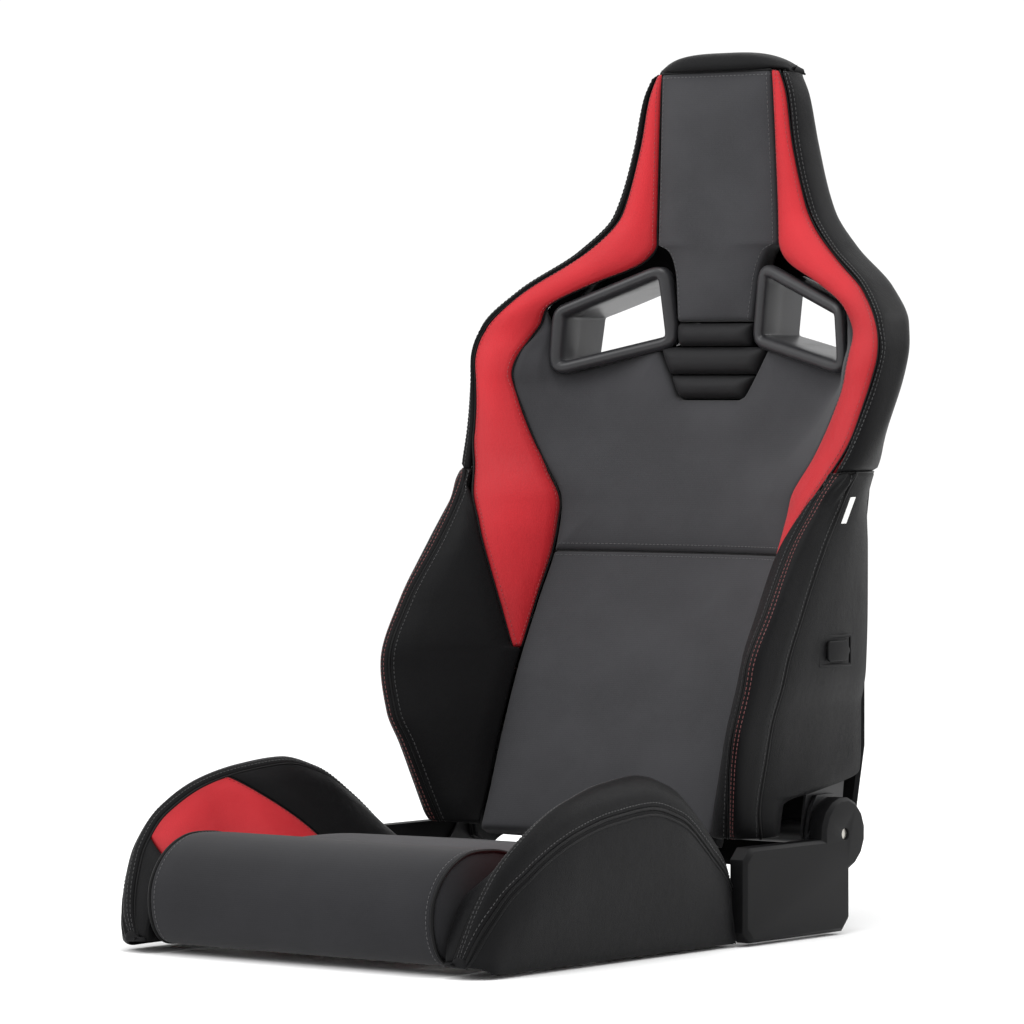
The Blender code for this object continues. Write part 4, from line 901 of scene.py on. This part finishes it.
def base_section(side, y, part, count=14):
    """One row of a base bolster panel, across its inner face, its top band or its outer side."""
    ridge, foot, inner, outer = BASE(y)
    foot_z = min(0.080, ridge * 0.72)
    rise = min(1.0, ridge / 0.10)
    drop = 0.029 * min(1.0, ridge / 0.13)
    front = smooth((-0.368 - y) / 0.028)
    low = 0.003 + 0.008 * front
    hem = 0.2475 + (outer - 0.001 - 0.2475) * front
    if part == "face":
        mid = (0.5 * (foot + inner) + 0.004, 0.5 * (foot_z + ridge) - 0.002)
        line = curved([(foot, foot_z), mid, (inner - SEAM_GAP, ridge - 0.003)], 6)
    elif part == "band":
        line = curved([(inner, ridge - 0.003),
                       (inner + 0.42 * (outer - inner), ridge + 0.0030 * rise - 0.06 * drop),
                       (inner + 0.84 * (outer - inner), ridge - 0.42 * drop), (outer, ridge - drop)], 8)
    else:
        line = curved([(outer, ridge - drop), (outer + 0.0010 * rise, 0.62 * (ridge - drop) + 0.38 * low),
                       (0.5 * (outer + hem) + 0.001, 0.3 * (ridge - drop) + 0.7 * low), (hem, low)], 6)
    return [(side * x, y, z) for x, z in resample(line, count)]


def face_point(side, y, share):
    ridge, foot, inner, outer = (float(v) for v in BASE(y))
    foot_z = min(0.080, ridge * 0.72)
    x = foot + (inner - SEAM_GAP - foot) * share + 0.010 * share * (1 - share)
    z = foot_z + (ridge - 0.003 - foot_z) * share
    return (side * x, y, z)


def base_face(side, label, name, left, right, material, node):
    """Part of the bolster's inner face, between two edges given as depth and share of its height."""
    bottom = np.array([left[0], right[0]], float)
    top = np.array([left[-1], right[-1]], float)
    scaled = [np.array([(y, t * 0.1) for y, t in edge]) for edge in (bottom, top, left, right)]
    flat = coons(*scaled)
    rows, cols = flat.shape[:2]
    grid = np.array([[face_point(side, flat[i, j, 0],
                                 flat[i, j, 1] * 10) for j in range(cols)] for i in range(rows)])
    panel = Panel(name + "_" + label, grid, (-side, 0, 0.5), 0.006, 0.0030, 0.0030, 0.030)
    dress(panel, material, "base", node)
    return panel


def end_cap(side, label, name, y, reach_y):
    """Rounded cover that closes one end of a base bolster."""
    loop = base_section(side, y, "face", 10)[:-1] + base_section(side, y, "band",
            14)[:-1] + base_section(side, y, "side", 14)
    loop = np.array(loop)
    foot = np.array([loop[0][0], y, max(0.012, loop[0][2] - 0.030)])
    loop = np.concatenate([loop, [foot]])
    centre = loop.mean(axis=0)
    rows = []
    for scale, part in ((1.0, 0.0), (0.985, 0.35), (0.93, 0.70), (0.78, 0.92), (0.45, 1.0)):
        row = centre + (loop - centre) * scale
        row[:, 1] = y + reach_y * part
        rows.append(row)
    verts = np.concatenate(rows + [[centre + (0, reach_y, 0)]])
    n = len(loop)
    faces = []
    for r in range(len(rows) - 1):
        for k in range(n):
            m = (k + 1) % n
            faces.append((r * n + k, r * n + m, (r + 1) * n + m, (r + 1) * n + k))
    tip = len(verts) - 1
    faces += [((len(rows) - 1) * n + k, (len(rows) - 1) * n + (k + 1) % n, tip) for k in range(n)]
    faces.append(tuple(reversed(range(n))))
    obj = mesh_object(name + "_" + label, verts, faces)
    dress(obj, BLACK, "base", ())
    return obj


def base_bolster(side, label):
    ys = np.linspace(BASE_NOSE_Y, BASE_TAIL_Y, 130)
    band = Panel("base_band_" + label, even(np.array([base_section(side, y, "band") for y in ys])),
                 (0, 0, 1), 0.008, 0.0035, 0.0030, 0.020)
    flank = Panel("base_flank_" + label,
                  even(np.array([base_section(side, y, "side", 24) for y in ys]), 0.005), (side, 0, 0),
                  0.006, 0.0015, 0.0030, 0.030)
    dress(band, BLACK, "base", "base_bolster_" + label)
    dress(flank, BLACK, "base", ())
    seam = curved([(-0.112, 0.0), (-0.150, 0.42), (-0.206, 0.86), (-0.225, 1.0)], 8)
    front = np.array([(-0.350, 0.0), (-0.350, 1.0)])
    rear = np.array([(BASE_TAIL_Y, 0.0), (BASE_TAIL_Y, 1.0)])
    nose = np.array([(BASE_NOSE_Y, 0.0), (BASE_NOSE_Y, 1.0)])
    red = base_face(side, label, "base_red_face", front + (0.0004, 0), seam - (0.0004, 0), RED,
                    "red_panel_" + label)
    base_face(side, label, "base_black_face", seam + (0.0004, 0), rear, BLACK, ())
    base_face(side, label, "base_nose_face", nose, front - (0.0004, 0), BLACK, ())
    liner = np.array([[(side * (BASE(y)[1] + 0.0005), y, z) for z in np.linspace(0.012,
            max(0.014, min(0.080, BASE(y)[0] * 0.72)), 8)]
                      for y in np.linspace(BASE_NOSE_Y + 0.0005, -0.300, 40)])
    inner = Panel("base_liner_" + label, liner, (-side, 0, 0), 0.002, 0.0004, 0.0010, 0.020)
    dress(inner, BLACK, "base", ())
    end_cap(side, label, "base_nose", BASE_NOSE_Y + 0.0005, -0.0025)
    end_cap(side, label, "base_tail", BASE_TAIL_Y - 0.0005, 0.0030)
    return band, flank, red


def thigh_roll():
    line = np.array(ROLL_UNDER[::-1][:-1] + ROLL_FRONT[:-1] + ROLL_TOP)
    line = resample(curved(line, 10), 120)
    xs = np.linspace(-ROLL_HALF, ROLL_HALF, 90)
    grid = np.array([[(x, y, z) for y, z in line] for x in xs])
    sheet = Panel("thigh_roll_cover", even(grid, 0.0045), (0, -1, 0.4), 0.008, 0.0012, 0.0035, 0.030)
    dress(sheet, ROLL_GREY, "base", "thigh_roll")
    bottom = np.array(ROLL_UNDER + ((-0.330, 0.050), (-0.270, 0.050)))
    for side, label in ((1, "left"), (-1, "right")):
        flat = coons(bottom, np.array(ROLL_TOP), np.array(ROLL_FRONT),
                     np.array([(-0.270, 0.050), (-0.270, 0.115)]))
        cap = np.stack([np.full(flat.shape[:2], side * (ROLL_HALF + 0.0004)), flat[..., 0], flat[..., 1]],
                       axis=-1)
        end = Panel("thigh_roll_end_" + label, cap, (side, 0, 0), 0.004, 0.0015, 0.0030, 0.020)
        dress(end, ROLL_GREY, "base", ())
    return sheet


def seat_cushion():
    ys = np.linspace(CUSHION_FRONT_Y, CUSHION_REAR_Y, 80)
    xs = np.linspace(-CUSHION_HALF, CUSHION_HALF, 80)
    share = (ys - CUSHION_FRONT_Y) / (CUSHION_REAR_Y - CUSHION_FRONT_Y)
    tops = 0.112 + (0.080 - 0.112) * share
    grid = np.array([[(x, y, z) for y, z in zip(ys, tops)] for x in xs])
    pad = Panel("seat_cushion_cover", even(grid), (0, 0, 1), 0.026, 0.013, 0.0060, 0.080)
    dress(pad, GREY, "base", "seat_cushion")
    return pad


# ---- belt slot surrounds ------------------------------------------------------------------------
def offset_loop(loop, distance):
    p = np.array(loop)
    ahead = np.roll(p, -1, axis=0) - p
    ahead /= np.linalg.norm(ahead, axis=1, keepdims=True)
    behind = np.roll(ahead, 1, axis=0)
    normal = np.stack([ahead[:, 1], -ahead[:, 0]], axis=1) + np.stack([behind[:, 1], -behind[:, 0]], axis=1)
    normal /= np.linalg.norm(normal, axis=1, keepdims=True)
    return p + normal * distance


def slot_surround(side, label):
    outline = resample(rounded(SLOT_OUTLINE, SLOT_CORNER, 10), 140)
    area = 0.5 * np.sum(outline[:, 0] * np.roll(outline[:, 1], -1) - np.roll(outline[:, 0],
            -1) * outline[:, 1])
    turn = 1 if area < 0 else -1
    profile = ((0.0, -0.004, 0), (0.0, 0.0035, 0), (0.0012, 0.0062, 0), (0.0038, 0.0085, 0),
               (0.0072, 0.0094, 0),
               (0.0105, 0.0086, 0), (0.0130, 0.0062, 0), (0.0146, 0.0030, 0), (0.0152, -0.003, 0),
               (0.0152, 0.0, 1),
               (0.0118, 0.0, 1), (0.0118, -0.012, 0))
    rows = []
    for inset, proud, rear in profile:
        ring = offset_loop(outline, turn * inset)
        x, z = ring[:, 0], ring[:, 1]
        face = BEZEL_IN_Y - BEZEL_SLOPE * (x - BEZEL_IN_X) - proud
        back = shell_y(x, z) + 0.0010
        rows.append(np.stack([side * x, back if rear else face, z], axis=1))
    verts = np.concatenate(rows)
    n, m = len(outline), len(rows)
    faces = []
    for r in range(m):
        q = (r + 1) % m
        for k in range(n):
            j = (k + 1) % n
            faces.append((r * n + k, r * n + j, q * n + j, q * n + k))
    obj = mesh_object("belt_slot_surround_" + label, verts, faces)
    dress(obj, SATIN, "backrest", "slot_bezel_" + label)
    return obj


# ---- hard pieces taken from the frame ----------------------------------------------------------
def only(obj):
    bpy.ops.object.select_all(action="DESELECT")
    obj.select_set(True)
    bpy.context.view_layer.objects.active = obj


def refined(node, name, material, body, bevel=0.0008, angle=35):
    """A smooth, fine-edged copy of a frame piece."""
    mesh = NODES[node].data.copy()
    obj = bpy.data.objects.new(name, mesh)
    bpy.context.scene.collection.objects.link(obj)
    only(obj)
    bpy.ops.object.mode_set(mode="EDIT")
    bpy.ops.mesh.select_all(action="SELECT")
    bpy.ops.mesh.remove_doubles(threshold=0.00002)
    bpy.ops.mesh.dissolve_limited(angle_limit=math.radians(1.0))
    bpy.ops.object.mode_set(mode="OBJECT")
    if bevel:
        edge = obj.modifiers.new("edge", "BEVEL")
        edge.width = bevel
        edge.segments = 3
        edge.limit_method = "ANGLE"
        edge.angle_limit = math.radians(angle)
        edge.use_clamp_overlap = True
        bpy.ops.object.modifier_apply(modifier="edge")
    bpy.ops.object.shade_smooth_by_angle(angle=math.radians(angle))
    dress(obj, material, body, node)
    return obj


# ---- piping and stitching along the seams --------------------------------------------------------
def seam_piping(name, path, radius, body):
    cord = tube(name, resample(path, max(24,
                                         int(np.linalg.norm(np.diff(path, axis=0),
                                                 axis=1).sum() / 0.004))), radius)
    dress(cord, PIPING, body, ())


def seam_stitches(name, lines, material, body, pitch=0.0052):
    dress(stitches(name, lines, pitch), material, body, ())


def sew(label, body, piping, rows):
    """Lay a cover's piping along its seams, then its rows of stitches."""
    for name, path, radius in piping:
        seam_piping(name + "_" + label, path, radius, body)
    for name, lines, material in rows:
        seam_stitches(name + "_" + label, lines, material, body)


def inset_rows(panel, edge, *insets):
    return [panel.line(edge, inset, STITCH_LIFT) for inset in insets]


def back_seams(label, wing, band, bolster):
    face, front, flank = bolster
    top = np.concatenate([panel.edge(1, -0.002)[0] for panel in (face, front, flank)])
    sew(label, "backrest", (
        ("wing_outer_piping", wing.edge(1, -0.0022)[0], 0.0013),
        ("wing_inner_piping", wing.edge(0, -0.0026)[0], 0.0011),
        ("bolster_ridge_piping", front.edge(2, -0.0014)[0], 0.0015),
        ("bolster_outer_piping", front.edge(3, -0.0008)[0], 0.0020),
        ("bolster_top_piping", top, 0.0012),
    ), (
        ("band_stitches", inset_rows(band, 2, 0.0050, 0.0085), BLACK_THREAD),
        ("bolster_ridge_stitches", inset_rows(front, 2, 0.0055, 0.0090), RED_THREAD),
        ("bolster_outer_stitches", inset_rows(front, 3, 0.0060), BLACK_THREAD),
        ("bolster_face_stitches", inset_rows(face, 3, 0.0055), BLACK_THREAD),
        ("wing_stitches", inset_rows(wing, 1, 0.0050) + inset_rows(wing, 0, 0.0050), DEEP_RED_THREAD),
    ))


def base_seams(label, band, flank, red):
    sew(label, "base", (
        ("base_inner_piping", band.edge(2, -0.0010)[0], 0.0016),
        ("base_outer_piping", band.edge(3, -0.0004)[0], 0.0020),
        ("base_second_piping", flank.line(2, 0.0065, -0.0004)[0], 0.0016),
        ("base_red_piping", red.edge(1, -0.0016)[0], 0.0013),
    ), (
        ("base_band_stitches", inset_rows(band, 2, 0.0055, 0.0090), BLACK_THREAD),
        ("base_outer_stitches", inset_rows(band, 3, 0.0060), BLACK_THREAD),
        ("base_red_stitches", inset_rows(red, 1, 0.0050), DEEP_RED_THREAD),
    ))


def centre_seams(lower, upper, head, roll):
    seam_piping("split_piping", lower.edge(3, -0.0030)[0], 0.0014, "backrest")
    seam_stitches("split_stitches", [lower.line(3, 0.0060, 0.0001), upper.line(2, 0.0060, 0.0001)],
                  GREY_THREAD, "backrest")
    seam_piping("head_top_piping", head.edge(3, -0.0016)[0], 0.0013, "backrest")
    seam_stitches("head_stitches", [head.line(e, 0.0050, 0.0001) for e in (0, 1, 3)], GREY_THREAD, "backrest")
    for edge, label in ((0, "right"), (1, "left")):
        seam_piping("roll_end_piping_" + label, roll.edge(edge, -0.0006)[0], 0.0022, "base")
    seam_stitches("roll_stitches", [roll.line(e, 0.0070, 0.0001) for e in (0, 1)], GREY_THREAD, "base")


# ---- stage ----------------------------------------------------------------------------------------
def stage():
    bpy.ops.object.select_all(action="DESELECT")
    bpy.ops.mesh.primitive_plane_add(size=30, location=(0, 0, -0.0005))
    floor = bpy.context.object
    floor.name = "studio_floor"
    paint = Finish("pale_floor", (0.97, 0.97, 0.97), 0.9, Specular_IOR_Level=0.0)
    cloud = paint.noise(0.8)
    floor.data.materials.append(paint.feed(Base_Color=paint.mix(cloud, (0.965, 0.965, 0.965),
            (0.985, 0.985, 0.985))))
    world = bpy.data.worlds.new("studio")
    bpy.context.scene.world = world
    world.use_nodes = True
    world.node_tree.nodes["Background"].inputs["Color"].default_value = (1, 1, 1, 1)
    world.node_tree.nodes["Background"].inputs["Strength"].default_value = 1.06


def soft_light(name, place, aim, size, power, tall=None):
    lamp = bpy.data.lights.new(name, "AREA")
    lamp.shape = "RECTANGLE"
    lamp.size = size
    lamp.size_y = tall or size
    lamp.energy = power
    obj = bpy.data.objects.new(name, lamp)
    bpy.context.scene.collection.objects.link(obj)
    obj.location = place
    obj.rotation_euler = (Vector(aim) - Vector(place)).to_track_quat("-Z", "Y").to_euler()


CAMERA_PLACE = (3.679, -4.742, 0.598)
CAMERA_AZIMUTH = 38.0
CAMERA_PITCH = 1.355
CAMERA_LENS = 196.2


def colours():
    view = bpy.context.scene.view_settings
    view.view_transform = "Standard"
    view.look = "None"
    view.exposure = 0.0
    view.gamma = 1.0


def camera():
    lens = bpy.data.cameras.new("camera")
    lens.lens = CAMERA_LENS
    lens.sensor_width = 36
    obj = bpy.data.objects.new("camera", lens)
    bpy.context.scene.collection.objects.link(obj)
    obj.location = CAMERA_PLACE
    obj.rotation_euler = (math.radians(90 - CAMERA_PITCH), 0, math.radians(CAMERA_AZIMUTH))
    bpy.context.scene.camera = obj


# ---- make it ----------------------------------------------------------------------------------------
camera()
colours()
stage()
soft_light("key_light", (-2.2, -3.0, 3.2), (0, 0, 0.5), 2.4, 70)
soft_light("top_light", (0.4, -0.6, 3.6), (0, 0, 0.4), 1.8, 45)
soft_light("rim_light", (1.8, 2.6, 2.6), (0, 0, 0.6), 1.6, 40)

lower_pad = lower_back_pad()
upper_pad = upper_back_pad()
chest_pads()
head = head_pad()
cap = head_cap()
roll = thigh_roll()
seat_cushion()
for SIDE, LABEL in ((1, "left"), (-1, "right")):
    wing = red_wing(SIDE, LABEL)
    band = outer_band(SIDE, LABEL)
    bolster = back_bolster(SIDE, LABEL)
    base = base_bolster(SIDE, LABEL)
    back_seams(LABEL, wing, band, bolster)
    base_seams(LABEL, *base)
    slot_surround(SIDE, LABEL)
centre_seams(lower_pad, upper_pad, head, roll)

for NODE in ("recliner_plate_left", "recliner_plate_right", "back_side_frame_left", "back_side_frame_right",
             "base_side_frame_left", "base_side_frame_right", "back_hoop", "back_lower_tube",
             "back_upper_tube",
             "base_tube_front", "base_tube_middle", "base_tube_rear", "seat_pan", "latch_pawl_left",
             "latch_pawl_right",
             "torque_tube"):
    BODY = NODES[NODE]["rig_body"]
    refined(NODE, NODE + "_finished", DARK_STEEL, BODY, 0.0)
for NODE in ("back_spring_low", "back_spring_mid", "back_spring_high", "adjuster_shaft",
             "mount_boss_front_left",
             "mount_boss_front_right", "mount_boss_rear_left", "mount_boss_rear_right"):
    refined(NODE, NODE + "_finished", ZINC, NODES[NODE]["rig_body"], 0.0)
refined("back_shell", "back_shell_finished", SHELL_FINISH, "backrest", 0.0, 40)
for NODE in ("side_cover_left", "side_cover_right", "handwheel", "handwheel_cap", "lever_pocket_left",
             "lever_pocket_right", "fold_lever_left", "fold_lever_right"):
    refined(NODE, NODE + "_finished", COVER_FINISH, NODES[NODE]["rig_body"], 0.0010)
refined("side_tag", "side_tag_finished", TAG_CLOTH, "backrest", 0.0)
